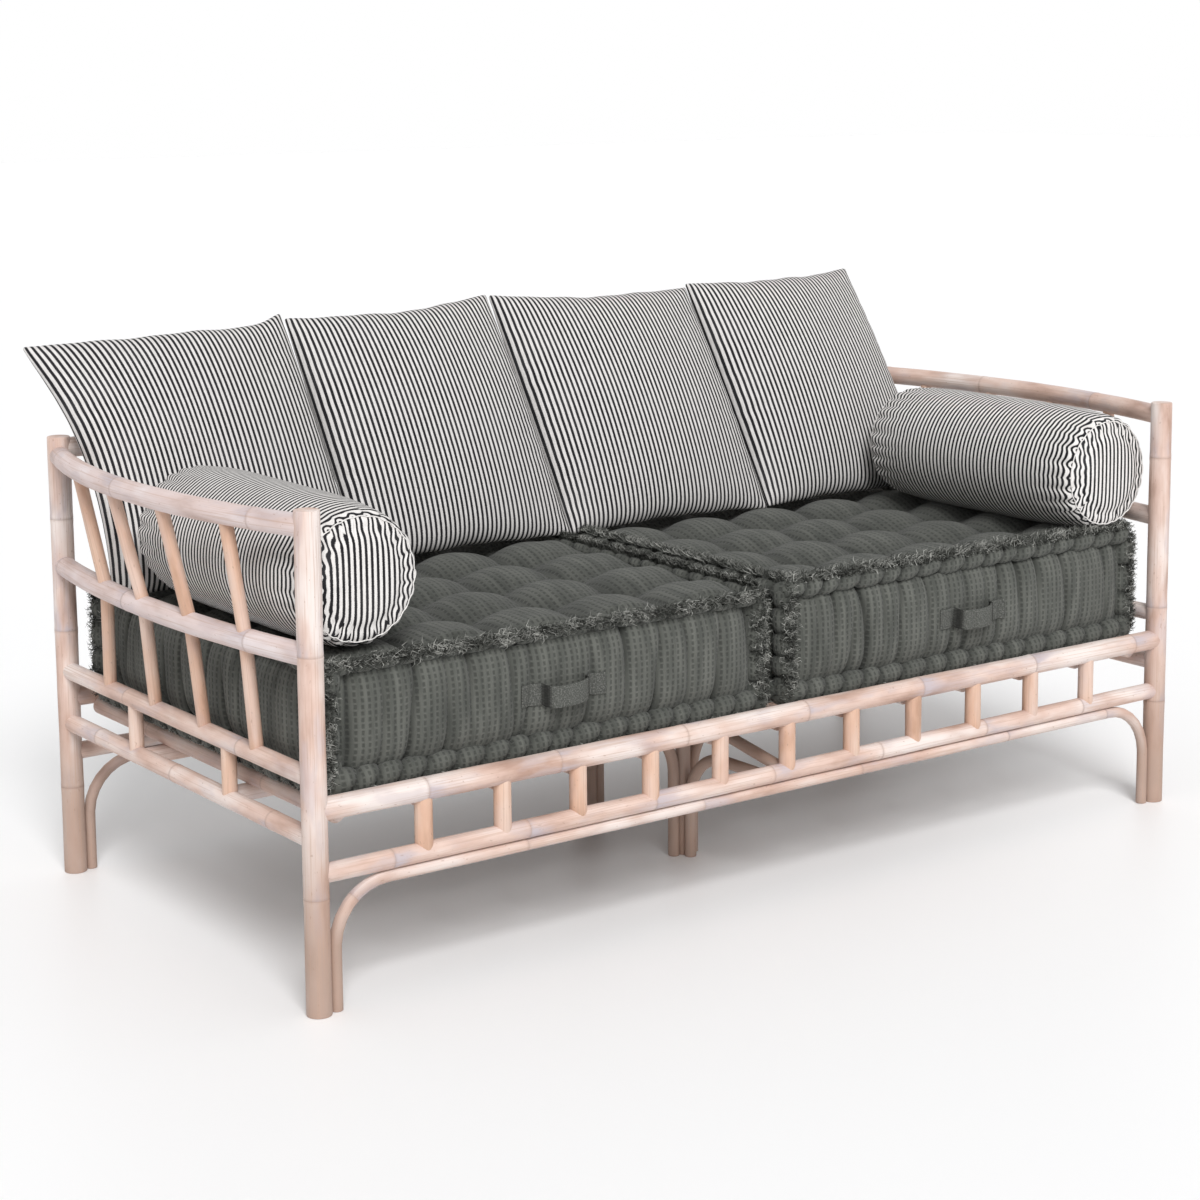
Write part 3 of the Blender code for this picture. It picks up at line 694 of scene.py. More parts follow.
def cloth_box(name, low, high, cells):
    """A closed cover with square cells, the weave's two measures laid flat on each face."""
    bpy.ops.object.select_all(action="DESELECT")
    bpy.ops.mesh.primitive_cube_add(size=1, calc_uvs=False, location=(low + high) / 2, scale=high - low)
    cover = bpy.context.object
    cover.name = name
    bpy.ops.object.transform_apply(location=True, rotation=True, scale=True)
    bpy.ops.object.mode_set(mode="EDIT")
    for axis, count in enumerate(cells):
        if count > 1:
            select_edges(cover, lambda first, second: abs(first[axis] - second[axis]) > 1e-6)
            bpy.ops.mesh.subdivide(number_cuts=count - 1)
    bpy.ops.object.mode_set(mode="OBJECT")
    normals = np.empty(len(cover.data.polygons) * 3)
    cover.data.polygons.foreach_get("normal", normals)
    facing = np.repeat(np.abs(normals.reshape(-1, 3)).argmax(1), 4)
    places = places_of(cover)[corners_of(cover)]
    rows = np.arange(len(places))
    across = places[rows, np.array([1, 0, 0])[facing]]
    along = places[rows, np.array([2, 2, 1])[facing]]
    lay_weave(cover, np.stack([across, along], 1))
    return cover


def inflate(cover, held, pressure, cap, stiffness):
    """Fills a cover by cloth simulation. Held points stay, and no point moves past the cap."""
    before = places_of(cover)
    group = cover.vertex_groups.new(name="held")
    group.add(np.nonzero(held)[0].tolist(), 1.0, "REPLACE")
    filling = cover.modifiers.new("filling", "CLOTH")
    cloth = filling.settings
    cloth.vertex_group_mass = "held"
    cloth.use_pressure = True
    cloth.uniform_pressure_force = pressure
    cloth.tension_stiffness = stiffness
    cloth.compression_stiffness = stiffness
    cloth.shear_stiffness = stiffness / 3
    cloth.effector_weights.gravity = 0
    filling.collision_settings.use_collision = False
    filling.point_cache.frame_end = FILL_STEPS
    for step in range(1, FILL_STEPS + 1):
        bpy.context.scene.frame_set(step)
    bpy.context.view_layer.objects.active = cover
    bpy.ops.object.modifier_apply(modifier="filling")
    bpy.context.scene.frame_set(1)
    cover.vertex_groups.clear()
    moved = places_of(cover) - before
    reach = np.maximum(np.linalg.norm(moved, axis=1), 1e-9)
    set_places(cover, before + moved * (cap * np.tanh(reach / cap) / reach)[:, None])


def refine(piece):
    """One level of subdivision, applied."""
    finer = piece.modifiers.new("finer", "SUBSURF")
    finer.levels = 1
    finer.render_levels = 1
    bpy.context.view_layer.objects.active = piece
    bpy.ops.object.modifier_apply(modifier="finer")


def smooth(piece):
    bpy.ops.object.select_all(action="DESELECT")
    piece.select_set(True)
    bpy.context.view_layer.objects.active = piece
    bpy.ops.object.shade_smooth()


def creases(start, end, spacing, spread, dice):
    """Places of creases from start to end, at uneven steps."""
    places = [start]
    while places[-1] < end:
        places.append(places[-1] + spacing + dice.uniform(-spread, spread))
    return np.array(places)


def flutes(along, places):
    """Round swells between creases: 0 on each crease and 1 midway to the next."""
    number = np.clip(np.searchsorted(places, along) - 1, 0, len(places) - 2)
    share = (along - places[number]) / (places[number + 1] - places[number])
    return np.sqrt(np.clip(4 * share * (1 - share), 0, 1)), number


def seat_body(side, dice):
    """The stuffed body of a seat cushion, without its rolls."""
    low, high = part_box(f"{side}_seat_cushion")
    inner_low = low + Vector((WALL_INSET, WALL_INSET, SEAT_FOOT))
    inner_high = Vector((high.x - WALL_INSET, high.y - WALL_INSET, low.z + SEAT_TOP))
    body = cloth_box(f"{side}_seat_pad", inner_low, inner_high, SEAT_CELLS)
    places = places_of(body)
    size = np.array(inner_high - inner_low)
    share = (places - np.array(inner_low)) / size
    top = share[:, 2] > 0.999
    ridges = np.abs(np.sin(math.pi * (TUFTS + 1) * share[:, :2])) ** HILL_ROUND
    hills = (1 - RIDGE_SHARE) * np.sqrt(ridges[:, 0] * ridges[:, 1]) + RIDGE_SHARE * ridges.max(1)
    steps = share[:, :2] * (TUFTS + 1)
    nearest = np.clip(np.round(steps), 1, TUFTS)
    cell = size[:2] / (TUFTS + 1)
    from_tuft = np.linalg.norm((steps - nearest) * cell, axis=1)
    rise = HILL_HEIGHT * hills - HILL_FOOT - TUFT_DEPTH * np.exp(-(from_tuft / TUFT_REACH) ** 2)
    from_faces = np.minimum(share, 1 - share) * size
    inward = from_faces[:, :2].min(1)
    rise -= SEAT_DIP * np.clip(inward / DIP_REACH, 0, 1)
    places[:, 2] += np.where(top, rise, 0)
    set_places(body, places)
    rim = np.sort(from_faces, axis=1)[:, 1] < RIM_HELD
    held = rim | (share[:, 2] < 0.001) | (top & (from_tuft < TUFT_HELD))
    inflate(body, held, **SEAT_FILLING)
    settled = places_of(body)
    settled[:, :2] = places[:, :2] + (settled[:, :2] - places[:, :2]) * SIDEWAYS_FILLING
    flat = inner_high.z - SEAT_DIP
    peak = settled[:, 2].max()
    above = top & (settled[:, 2] > flat) & (inward > RIM_WIDTH)
    settled[above, 2] = flat + (settled[above, 2] - flat) * (high.z - flat) / (peak - flat)
    set_places(body, settled)
    refine(body)
    cut_walls(body, inner_low, inner_high)
    wall_shade = gather_walls(body, inner_low, inner_high, dice)
    tuck_rear(body, inner_high.y)
    # Painted shade: dark in the wall creases and tucks, and over the whole top, most in its valleys.
    heights = places_of(body)[:, 2]
    shaded_top = (heights > low.z + SEAT_TOP / 2) * inside_of(body, inner_low, inner_high)
    valley_shade = 1.45 * np.clip((high.z - heights - 0.004) / VALLEY_DEPTH, 0, 1) ** 0.9
    paint(body, "dull", np.maximum(wall_shade, shaded_top * (0.45 + valley_shade)))
    smooth(body)
    return body


def inside_of(body, low, high):
    """0 on the walls of a seat body and 1 a little way in from them."""
    places = places_of(body)[:, :2]
    inward = np.minimum(places - np.array(low)[:2], np.array(high)[:2] - places).min(1)
    return np.clip(inward / RIM_WIDTH, 0, 1)


def cut_walls(body, low, high):
    """Cuts the walls finer along their length, so that creases can be narrow."""
    bpy.ops.object.mode_set(mode="EDIT")
    for axis in (0, 1):
        wall = 1 - axis

        def runs_along(first, second):
            step = second - first
            outer = min(abs(first[wall] - middle[wall]), abs(second[wall] - middle[wall]))
            return abs(step[axis]) > 0.7 * step.length and outer > reach[wall] - WALL_FACE

        middle = (low + high) / 2
        reach = (high - low) / 2
        select_edges(body, runs_along)
        bpy.ops.mesh.subdivide(number_cuts=WALL_CUTS)
    bpy.ops.object.mode_set(mode="OBJECT")


def gather_walls(body, low, high, dice):
    """Bulges the four walls and draws them in along uneven creases. Gives back how much painted
    shade each point takes from the sharp creases and the tucks by the rolls."""
    places = places_of(body)
    part = (places - np.array(low + high) / 2) / (np.array(high - low) / 2)
    tall = np.clip((places[:, 2] - low.z - FOOT_ROLL_HEIGHT) / (high.z - low.z - FOOT_ROLL_HEIGHT), 0, 1)
    wall_shade = np.zeros(len(places))
    for axis, sign in ((0, -1), (0, 1), (1, -1), (1, 1)):
        along = places[:, 1 - axis]
        wall = np.clip((part[:, axis] * sign - 0.94) / 0.05, 0, 1)
        from_end = np.minimum(along - low[1 - axis], high[1 - axis] - along)
        rounded = 1 - np.exp(-((np.clip(from_end, 0, None) / WALL_ROUND) ** 1.2))
        bulge = WALL_BULGE * (1 - np.abs(2 * tall - 1) ** 4.0) * rounded
        drawn = np.zeros(len(places))
        sharp = np.zeros(len(places))
        for line in creases(low[1 - axis], high[1 - axis], CREASE_SPACING, CREASE_SPREAD, dice):
            at_top = CREASE_DEPTH * dice.random() ** 1.5
            at_foot = CREASE_DEPTH * dice.random() ** 1.5
            lean = dice.uniform(-CREASE_LEAN, CREASE_LEAN)
            bow = dice.uniform(-CREASE_BOW, CREASE_BOW)
            aside = np.abs(along - line - lean * (tall - 0.5) - bow * (tall - 0.5) ** 2)
            deep = at_top * tall**1.2 + at_foot * (1 - tall) ** 1.2 + CREASE_LEAST
            drawn += deep * (0.55 * np.exp(-aside / CREASE_SHARP) + 0.45 * np.exp(-aside / CREASE_SOFT))
            sharp += deep * np.exp(-aside / 0.0050)
        places[:, axis] += sign * wall * (bulge - drawn * rounded)
        # Painted shade in the tucks by the rolls and along the sharp creases.
        tucked = np.clip(1 - tall / 0.10, 0, 1) + np.clip(1 - (1 - tall) / 0.08, 0, 1)
        wall_shade = np.maximum(wall_shade, wall * (1.5 * np.clip(sharp / 0.012, 0, 1) + 0.8 * tucked))
    set_places(body, places)
    return np.clip(wall_shade, 0, 1.9)


def tuck_rear(body, wall):
    """Presses the rear wall in, so that it passes the rear top rail when the cushion is lifted."""
    reach = axis_of("rear_top_rail").y - radius_of("rear_top_rail", 2) - RAIL_CLEARANCE - wall
    places = places_of(body)
    beyond = places[:, 1] - wall
    places[:, 1] = wall + np.where(beyond > 0, beyond * min(1, reach / beyond.max()), beyond)
    set_places(body, places)


def round_loop(low, high, height):
    """Points round a rectangle with round corners, from the middle of its rear edge back to it."""
    points = [((low.x + high.x) / 2, high.y, height)]
    turns = (
        (high.x - ROLL_BEND, high.y - ROLL_BEND),
        (high.x - ROLL_BEND, low.y + ROLL_BEND),
        (low.x + ROLL_BEND, low.y + ROLL_BEND),
        (low.x + ROLL_BEND, high.y - ROLL_BEND),
    )
    for number, (x, y) in enumerate(turns):
        for step in range(ROLL_BEND_STEPS + 1):
            angle = math.pi / 2 * (1 - number - step / ROLL_BEND_STEPS)
            points.append((x + ROLL_BEND * math.cos(angle), y + ROLL_BEND * math.sin(angle), height))
    return points + [points[0]]


def puffed_roll(name, path, radius, dice):
    """A stuffed roll along its path, drawn in by a slanting stitch every few centimetres. The
    cloth's columns stand upright on it, as on the walls."""
    length = path_length(path)
    bpy.ops.object.select_all(action="DESELECT")
    bpy.ops.mesh.primitive_cylinder_add(vertices=ROLL_SIDES, radius=radius, depth=length, calc_uvs=False)
    roll = bpy.context.object
    roll.name = name
    roll.location = (0, 0, length / 2)
    bpy.ops.object.transform_apply(location=True)
    bpy.ops.object.mode_set(mode="EDIT")
    for cut in range(1, ROLL_PIECES):
        bpy.ops.mesh.select_all(action="SELECT")
        bpy.ops.mesh.bisect(plane_co=(0, 0, length * cut / ROLL_PIECES), plane_no=(0, 0, 1))
    select_edges(roll, lambda first, second: abs(first.z - second.z) > 1e-4)
    bpy.ops.mesh.subdivide(number_cuts=max(2, round(length / ROLL_PIECES / ROLL_STEP)))
    bpy.ops.object.mode_set(mode="OBJECT")
    straight = places_of(roll)
    angle = np.arctan2(straight[:, 1], straight[:, 0])
    laid = np.stack([angle * radius, straight[:, 2]], 1)
    if path[0][2] == path[1][2]:
        laid = laid[:, ::-1]
    lay_weave(roll, laid[corners_of(roll)])
    bend_along(roll, path)
    line = np.array([tuple(point) for point in path])
    reached = np.concatenate([[0], np.cumsum(np.linalg.norm(np.diff(line, axis=0), axis=1))])
    middle = np.stack([np.interp(straight[:, 2], reached, line[:, axis]) for axis in range(3)], 1)
    offset = places_of(roll) - middle
    stitches = creases(-0.05, length + 0.05, PUFF_PITCH, PUFF_SPREAD, dice)
    swell, number = flutes(straight[:, 2] + PUFF_SLANT * offset[:, 2], stitches)
    fat = np.array([dice.uniform(*PUFF_FAT) for stitch in stitches])
    girth = fat[number] * (0.52 + 0.50 * swell**0.85)
    set_places(roll, middle + offset * girth[:, None])
    # Painted shade in the pinches between the puffs.
    paint(roll, "dull", 2.3 * (1 - swell) ** 1.1)
    return roll


STRAND_FORMS = 9
STRAND_STATIONS = (0.0, 0.42, 0.78)
STRAND_RADII = (0.00085, 0.00078, 0.00058)
STRAND_CORNERS = (0.0, 2.094, 4.189)
STRAND_TONES = (0.35, 0.35, 0.35, 0.8, 0.8, 0.8, 1.1, 1.1, 1.1, 1.25)
CLUMP_SIZE = 0.006
CLUMP_TONES = 997


def strand_forms(dice):
    """A few curled threads to copy: out, sideways and up for each point, in strand lengths."""
    forms = []
    for number in range(STRAND_FORMS):
        curl = dice.uniform(1.5, 4.6)
        turn = dice.uniform(0, 6.28)
        droop = dice.uniform(-0.35, 0.15)
        spine = []
        for share in (*STRAND_STATIONS, 1.0):
            sideways = 0.42 * share * math.sin(curl * share * 2 + turn)
            rise = droop * share**2 + 0.32 * share * math.cos(curl * share * 2 + turn)
            spine.append((share * (0.95 - 0.2 * share), sideways, rise))
        forms.append(spine)
    return np.array(forms)


def fray(name, roots, outs, sides, lengths, dice):
    """A fringe of short threads, one from each root, merged in one mesh."""
    count = len(roots)
    forms = strand_forms(dice)
    grid = np.random.default_rng(dice.randrange(10**6))
    spine = forms[grid.integers(0, len(forms), count)] * lengths[:, None, None]
    ups = np.cross(outs, sides)
    axes = np.stack([outs, sides, ups], 1)
    spine = roots[:, None, :] + np.einsum("nsk,nkd->nsd", spine, axes)
    points = []
    for station, thick in enumerate(STRAND_RADII):
        for angle in STRAND_CORNERS:
            ring = math.cos(angle) * sides + math.sin(angle) * ups
            points.append(spine[:, station] + thick * ring)
    points.append(spine[:, 3])
    points = np.stack(points, 1)
    faces = []
    for station in (0, 3):
        for corner in range(3):
            after = (corner + 1) % 3
            faces.append((station + corner, station + after, station + 3 + after, station + 3 + corner))
    for corner in range(3):
        faces.append((6 + corner, 6 + (corner + 1) % 3, 9))
    faces.append((2, 1, 0))
    every = [tuple(10 * strand + corner for corner in face) for strand in range(count) for face in faces]
    mesh = bpy.data.meshes.new(name)
    mesh.from_pydata(points.reshape(-1, 3).tolist(), [], every)
    fringe = bpy.data.objects.new(name, mesh)
    bpy.context.scene.collection.objects.link(fringe)
    clump = np.floor(roots / CLUMP_SIZE).astype(int) @ np.array((73856093, 19349663, 83492791))
    lights = np.random.default_rng(5).random(CLUMP_TONES)[clump % CLUMP_TONES]
    tone = np.clip(0.05 + 0.82 * lights**1.2 + grid.normal(0, 0.12, count), 0.02, 0.85)[:, None]
    paint(fringe, "shade", tone * np.array(STRAND_TONES)[None, :])
    return fringe


def loop_roots(path, per_metre, grid):
    """Random places along a path, with the way along it and the way out of it at each."""
    points = np.array(path)
    steps = np.linalg.norm(np.diff(points, axis=0), axis=1)
    ends = np.concatenate([[0], np.cumsum(steps)])
    drawn = np.sort(grid.uniform(0, ends[-1], int(per_metre * ends[-1])))
    number = np.clip(np.searchsorted(ends, drawn) - 1, 0, len(steps) - 1)
    along = np.diff(points, axis=0)[number] / steps[number][:, None]
    places = points[number] + along * (drawn - ends[number])[:, None]
    outward = np.stack([-along[:, 1], along[:, 0], np.zeros(len(along))], 1)
    return places, along, outward


FRAYED = {
    "left": {"crest": (15, 85), "aim": (-62, 30), "length": (0.013, 0.025)},
    "right": {"crest": (40, 115), "aim": (15, 120), "length": (0.012, 0.026)},
    "foot": {"crest": (-80, -25), "aim": (-48, 5), "length": (0.006, 0.013)},
}
TOP_STRANDS = 3600
FOOT_STRANDS = 1100
CORNER_STRANDS = 4200
CORNER_STRAND = (0.008, 0.020)
HIDDEN_STRAND = 0.004
OUTER_SHORTENED = 0.6
REAR_SHORTENED = 0.3


def seat_fringe(side, low, high, dice):
    """All the frayed edges of one seat cushion: top and bottom loops and four upright corners."""
    grid = np.random.default_rng(dice.randrange(10**6))
    inner = 1.0 if side == "left" else -1.0
    rise = np.array([0, 0, 1.0])
    roots, outs, sides, lengths = [], [], [], []
    for height, facts, radius, thick in (
        (high.z, FRAYED[side], TOP_ROLL_RADIUS[side], TOP_STRANDS),
        (low.z, FRAYED["foot"], ROLL_RADIUS, FOOT_STRANDS),
    ):
        places, along, outward = loop_roots(round_loop(low, high, height), thick, grid)
        count = len(places)
        crest = np.radians(grid.uniform(*facts["crest"], count))
        angle = np.radians(grid.uniform(*facts["aim"], count))
        length = grid.uniform(*facts["length"], count)
        beside = outward[:, 0] * inner
        inside = beside > 0.7
        crest = np.where(inside, np.radians(grid.uniform(60, 110, count)), crest)
        angle = np.where(inside, np.radians(grid.uniform(62, 108, count)), angle)
        length = np.where(inside & (height == low.z), HIDDEN_STRAND, length)
        length = np.where(beside < -0.7, length * OUTER_SHORTENED, length)
        length = np.where(outward[:, 1] > 0.4, length * REAR_SHORTENED, length)
        root = outward * np.cos(crest)[:, None] + rise * np.sin(crest)[:, None]
        out = outward * np.cos(angle)[:, None] + rise * np.sin(angle)[:, None]
        wander = along * grid.normal(0, 0.40, count)[:, None]
        wander[inside] *= 0.6
        aim = out + wander
        aim /= np.linalg.norm(aim, axis=1)[:, None]
        roots.append(places + root * radius * 0.82)
        outs.append(aim)
        sides.append(along)
        lengths.append(length)
    for x, y, way in (
        (low.x, low.y, (-0.7, -0.7, 0)),
        (high.x, low.y, (0.7, -0.7, 0)),
        (high.x, high.y, (0.7, 0.7, 0)),
        (low.x, high.y, (-0.7, 0.7, 0)),
    ):
        count = int(CORNER_STRANDS * (high.z - low.z))
        inset = [math.copysign(CORNER_INSET, part) for part in way[:2]]
        places = np.repeat(np.array((x - inset[0], y - inset[1], 0))[None, :], count, 0)
        places[:, 2] = grid.uniform(low.z, high.z, count)
        outer = np.array((way[0] * 0.5, way[1], 0))
        if way[0] * inner > 0:
            outer = np.array((way[0] * 0.10, way[1], 0))
        if way[1] > 0:
            outer = np.array((way[0] * 0.3, 0.1, 0))
        aim = outer + grid.normal(0, 0.34, (count, 3)) * np.array((0.80, 0.6, 1))
        aim /= np.linalg.norm(aim, axis=1)[:, None]
        upward = np.repeat(rise[None, :], count, 0)
        across = np.cross(aim, upward)
        across /= np.linalg.norm(across, axis=1)[:, None]
        roots.append(places + aim * ROLL_RADIUS * 0.8)
        outs.append(aim)
        sides.append(across)
        lengths.append(grid.uniform(*CORNER_STRAND, count))
    strands = (roots, outs, sides, lengths)
    top = fray(f"{side}_seat_top_fringe", *(group[0] for group in strands), dice)
    rest = fray(f"{side}_seat_side_fringe", *(np.concatenate(group[1:]) for group in strands), dice)
    return top, rest


def seat_cushion(side, dice):
    body = seat_body(side, dice)
    dress(body, WAFFLE, f"{side}_seat")
    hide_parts(f"{side}_seat_cushion")
    box_low, box_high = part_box(f"{side}_seat_cushion")
    low = box_low + Vector((ROLL_INSET, ROLL_INSET, FOOT_ROLL_HEIGHT))
    top = box_high.z - TOP_ROLL_RADIUS[side] - TOP_ROLL_DROP[side]
    high = Vector((box_high.x - ROLL_INSET, box_high.y - ROLL_INSET, top))
    rolls = []
    for level in ("bottom", "top"):
        height, radius = (low.z, ROLL_RADIUS) if level == "bottom" else (high.z, TOP_ROLL_RADIUS[side])
        path = round_loop(low, high, height)
        rolls.append(puffed_roll(f"{side}_seat_{level}_roll", path, radius, dice))
    middle_x = axis_of(f"{side}_seat_cushion").x
    turns = ((low.x, low.y), (high.x, low.y), (high.x, high.y), (low.x, high.y))
    for number, (x, y) in enumerate(turns, 1):
        spot_x = x - math.copysign(CORNER_INSET, x - middle_x)
        spot_y = y - math.copysign(CORNER_INSET, y)
        path = [Vector((spot_x, spot_y, height)) for height in (low.z, high.z)]
        rolls.append(puffed_roll(f"{side}_seat_corner_roll_{number}", path, ROLL_RADIUS, dice))
    for roll in rolls:
        smooth(roll)
        dress(roll, WAFFLE, f"{side}_seat")
    for fringe in seat_fringe(side, low, high, dice):
        dress(fringe, FRINGE, f"{side}_seat")
    return body


seat_pads = {}
for side, seed in (("left", 11), ("right", 23)):
    seat_pads[side] = seat_cushion(side, random.Random(seed))


# Handles: a short strap of plain charcoal canvas, folded double, is sewn to the front of each seat
# cushion with a crossed box of stitches at both ends, and bows out loose between them.
STRAP_THICKNESS = 0.0036
STRAP_PAD = 0.036
STRAP_BOW = 0.022
STITCH_LENGTH = 0.0031
STITCH_STEP = 0.0043
STITCH_RADIUS = 0.0007
STITCH_INSET = 0.0045
CANVAS_YARN = 0.0021
STRAP_CELLS = (48, 8)
STRAP_LIFT = 0.0016
STRAP_SAG = 0.25
STRAP_BED = 0.004
FOLD_INSET = 0.003
FOLD_SHADE = 0.005
HEM_WIDTH = 0.0012
BEFORE_SEAT = -0.6


def strap_finish(name):
    """Charcoal canvas: a close plain weave, flecked with paler yarn."""
    made, start, shader = new_finish(name, {"Roughness": 0.9, "Specular IOR Level": 0.25})
    weave = start.painted("weave", "Vector")
    tucked = start.painted("tucked")
    flecks = weave.noise((420, 420, 420), 3.0)
    ribs = weave.part("X").hoops(CANVAS_YARN)
    threads = weave.part("Y").hoops(CANVAS_YARN)
    over = ribs.math("MAXIMUM", ribs, threads)
    yarn = flecks.between(0.42, 0.66).blend((0.080, 0.083, 0.075, 1), (0.165, 0.167, 0.154, 1))
    woven = ((1 - over) * 0.8).blend(yarn, (0.024, 0.025, 0.023, 1))
    # Painted shade: the canvas goes nearly black near each fold.
    (tucked * 0.9).blend(woven, (0.010, 0.010, 0.009, 1)).into(shader.inputs["Base Color"])
    over.emboss(shader, 0.6, 0.0006)
    return made


def thread_finish(name):
    """Sewing thread: twisted strands in two dark greys."""
    made, start, shader = new_finish(name, {"Roughness": 0.7})
    place = start.node("ShaderNodeTexCoord", {}, {}, "Object")
    twist = place.noise((2600, 2600, 2600), 1.0)
    twist.blend((0.030, 0.031, 0.029, 1), (0.085, 0.086, 0.080, 1)).into(shader.inputs["Base Color"])
    return made


STRAP_FINISH = strap_finish("charcoal_canvas")
THREAD_FINISH = thread_finish("charcoal_thread")


def wall_front(wall, x, z):
    """How far forward the front wall of a seat cushion stands at this place."""
    return wall.ray_cast(Vector((x, BEFORE_SEAT, z)), Vector((0, 1, 0)))[0].y


def strap_handle(side):
    low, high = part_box(f"{side}_handle")
    middle = (low + high) / 2
    width = high.x - low.x
    wall = BVHTree.FromObject(seat_pads[side], bpy.context.evaluated_depsgraph_get())
    bpy.ops.object.select_all(action="DESELECT")
    columns, rows = STRAP_CELLS
    bpy.ops.mesh.primitive_grid_add(x_subdivisions=columns, y_subdivisions=rows, size=1, calc_uvs=False)
    strap = bpy.context.object
    strap.name = f"{side}_strap"
    strap.scale = (width, high.z - low.z, 1)
    bpy.ops.object.transform_apply(scale=True)
    flat = places_of(strap)
    lay_weave(strap, flat[corners_of(strap)][:, (1, 0)])
    places = np.empty_like(flat)
    loose = width / 2 - STRAP_PAD
    from_fold = np.abs(np.abs(flat[:, 0]) - loose + FOLD_INSET)
    # Painted shade near the folds where the loop stands out from its sewn ends.
    paint(strap, "tucked", np.clip(1.4 - from_fold / FOLD_SHADE, 0, 1))
    for number, (x, z, _) in enumerate(flat):
        share = np.clip((x + loose) / (2 * loose), 0, 1)
        bow = STRAP_BOW * (4 * share * (1 - share)) ** 0.45
        beds = [wall_front(wall, middle.x + x, middle.z + z + step) for step in (-STRAP_BED, STRAP_BED)]
        sag = STRAP_SAG * bow * (1 - share)
        places[number] = (middle.x + x, max(beds) - STRAP_LIFT - bow, middle.z + z - sag)
    set_places(strap, places)
    bpy.ops.object.mode_set(mode="EDIT")
    bpy.ops.mesh.select_all(action="SELECT")
    bpy.ops.mesh.normals_make_consistent(inside=False)
    bpy.ops.object.mode_set(mode="OBJECT")
    fold = strap.modifiers.new("fold", "SOLIDIFY")
    fold.thickness = STRAP_THICKNESS
    fold.offset = 0
    bpy.ops.object.modifier_apply(modifier="fold")
    hem = strap.modifiers.new("hem", "BEVEL")
    hem.width = HEM_WIDTH
    hem.segments = 2
    bpy.ops.object.modifier_apply(modifier="hem")
    smooth(strap)
    dress(strap, STRAP_FINISH, f"{side}_seat")
    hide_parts(f"{side}_handle")
    sew_handle(side, middle, width, high.z - low.z, wall)


def sew_handle(side, middle, width, height, wall):
    """Crossed boxes of stitches on both ends of a strap, copied from one stitch into one mesh."""
    bpy.ops.object.select_all(action="DESELECT")
    bpy.ops.mesh.primitive_uv_sphere_add(segments=6, ring_count=5, radius=1, calc_uvs=False)
    stitch = bpy.context.object
    stitch.scale = (STITCH_LENGTH / 2, STITCH_RADIUS, STITCH_RADIUS)
    bpy.ops.object.transform_apply(scale=True)
    copies = []
    half_wide = STRAP_PAD / 2 - STITCH_INSET / 2
    half_tall = height / 2 - STITCH_INSET
    box = [(-half_wide, -half_tall), (half_wide, -half_tall), (half_wide, half_tall), (-half_wide, half_tall)]
    lines = list(zip(box, box[1:] + box[:1])) + [(box[0], box[2]), (box[1], box[3])]
    for end in (-1, 1):
        centre = middle.x + end * (width / 2 - STRAP_PAD / 2)
        for first, second in lines:
            run = Vector(second) - Vector(first)
            count = round(run.length / STITCH_STEP)
            for number in range(count):
                spot = Vector(first) + run * (number + 0.5) / count
                x = centre + spot.x
                z = middle.z + spot.y
                front = wall_front(wall, x, z) - STRAP_LIFT - STRAP_THICKNESS / 2
                copy = stitch.copy()
                copy.data = stitch.data.copy()
                bpy.context.scene.collection.objects.link(copy)
                copy.location = (x, front, z)
                copy.rotation_euler = (0, -math.atan2(run.y, run.x), 0)
                copies.append(copy)
    bpy.data.objects.remove(stitch)
    bpy.ops.object.select_all(action="DESELECT")
    for copy in copies:
        copy.select_set(True)
    bpy.context.view_layer.objects.active = copies[0]
    bpy.ops.object.join()
    seam = bpy.context.object
    seam.name = f"{side}_strap_stitches"
    bpy.ops.object.transform_apply(location=True, rotation=True, scale=True)
    bpy.ops.object.shade_smooth()
    dress(seam, THREAD_FINISH, f"{side}_seat")


for side in SIDES:
    strap_handle(side)


# Bolsters: two striped rolls that lie on the seat along the arms. Each is a sleeve sewn to two
# round ends, gathered at the seam and stuffed hard enough to dome the ends.
STRIPE = 0.0096
THREAD = 0.0011
BOLSTER_SIDES = 132
BOLSTER_STEPS = 72
END_RINGS = 9
BOLSTER_RADIUS = 0.110
SEAM_RADIUS = 0.0915
BOLSTER_SINK = 0.004
BOLSTER_FORWARD = {"left": -0.008, "right": 0.012}
BOLSTER_ASIDE = 0.016
BOLSTER_DOME = 0.012
BARREL = 0.15
WELT_RADIUS = 0.0010
SCALLOP = 0.022
SEAT_CLEARANCE = 0.0008
BOLSTER_FILLING = {"pressure": 4.0, "cap": 0.014, "stiffness": 12.0}
PUCKER_SPACING = 0.27
PUCKER_SPREAD = 0.07
PUCKER_PUSH = (0.5, 1.2)
PUCKER_DEPTH = 0.105
PUCKER_REACH = 0.030
PUCKER_START = 0.004
SCALLOP_REACH = 0.020
END_DENT = 0.0050
END_PUCKER = 0.0055
END_TWIST = 0.0085
GATHER = 0.0170
GATHER_REACH = 0.046


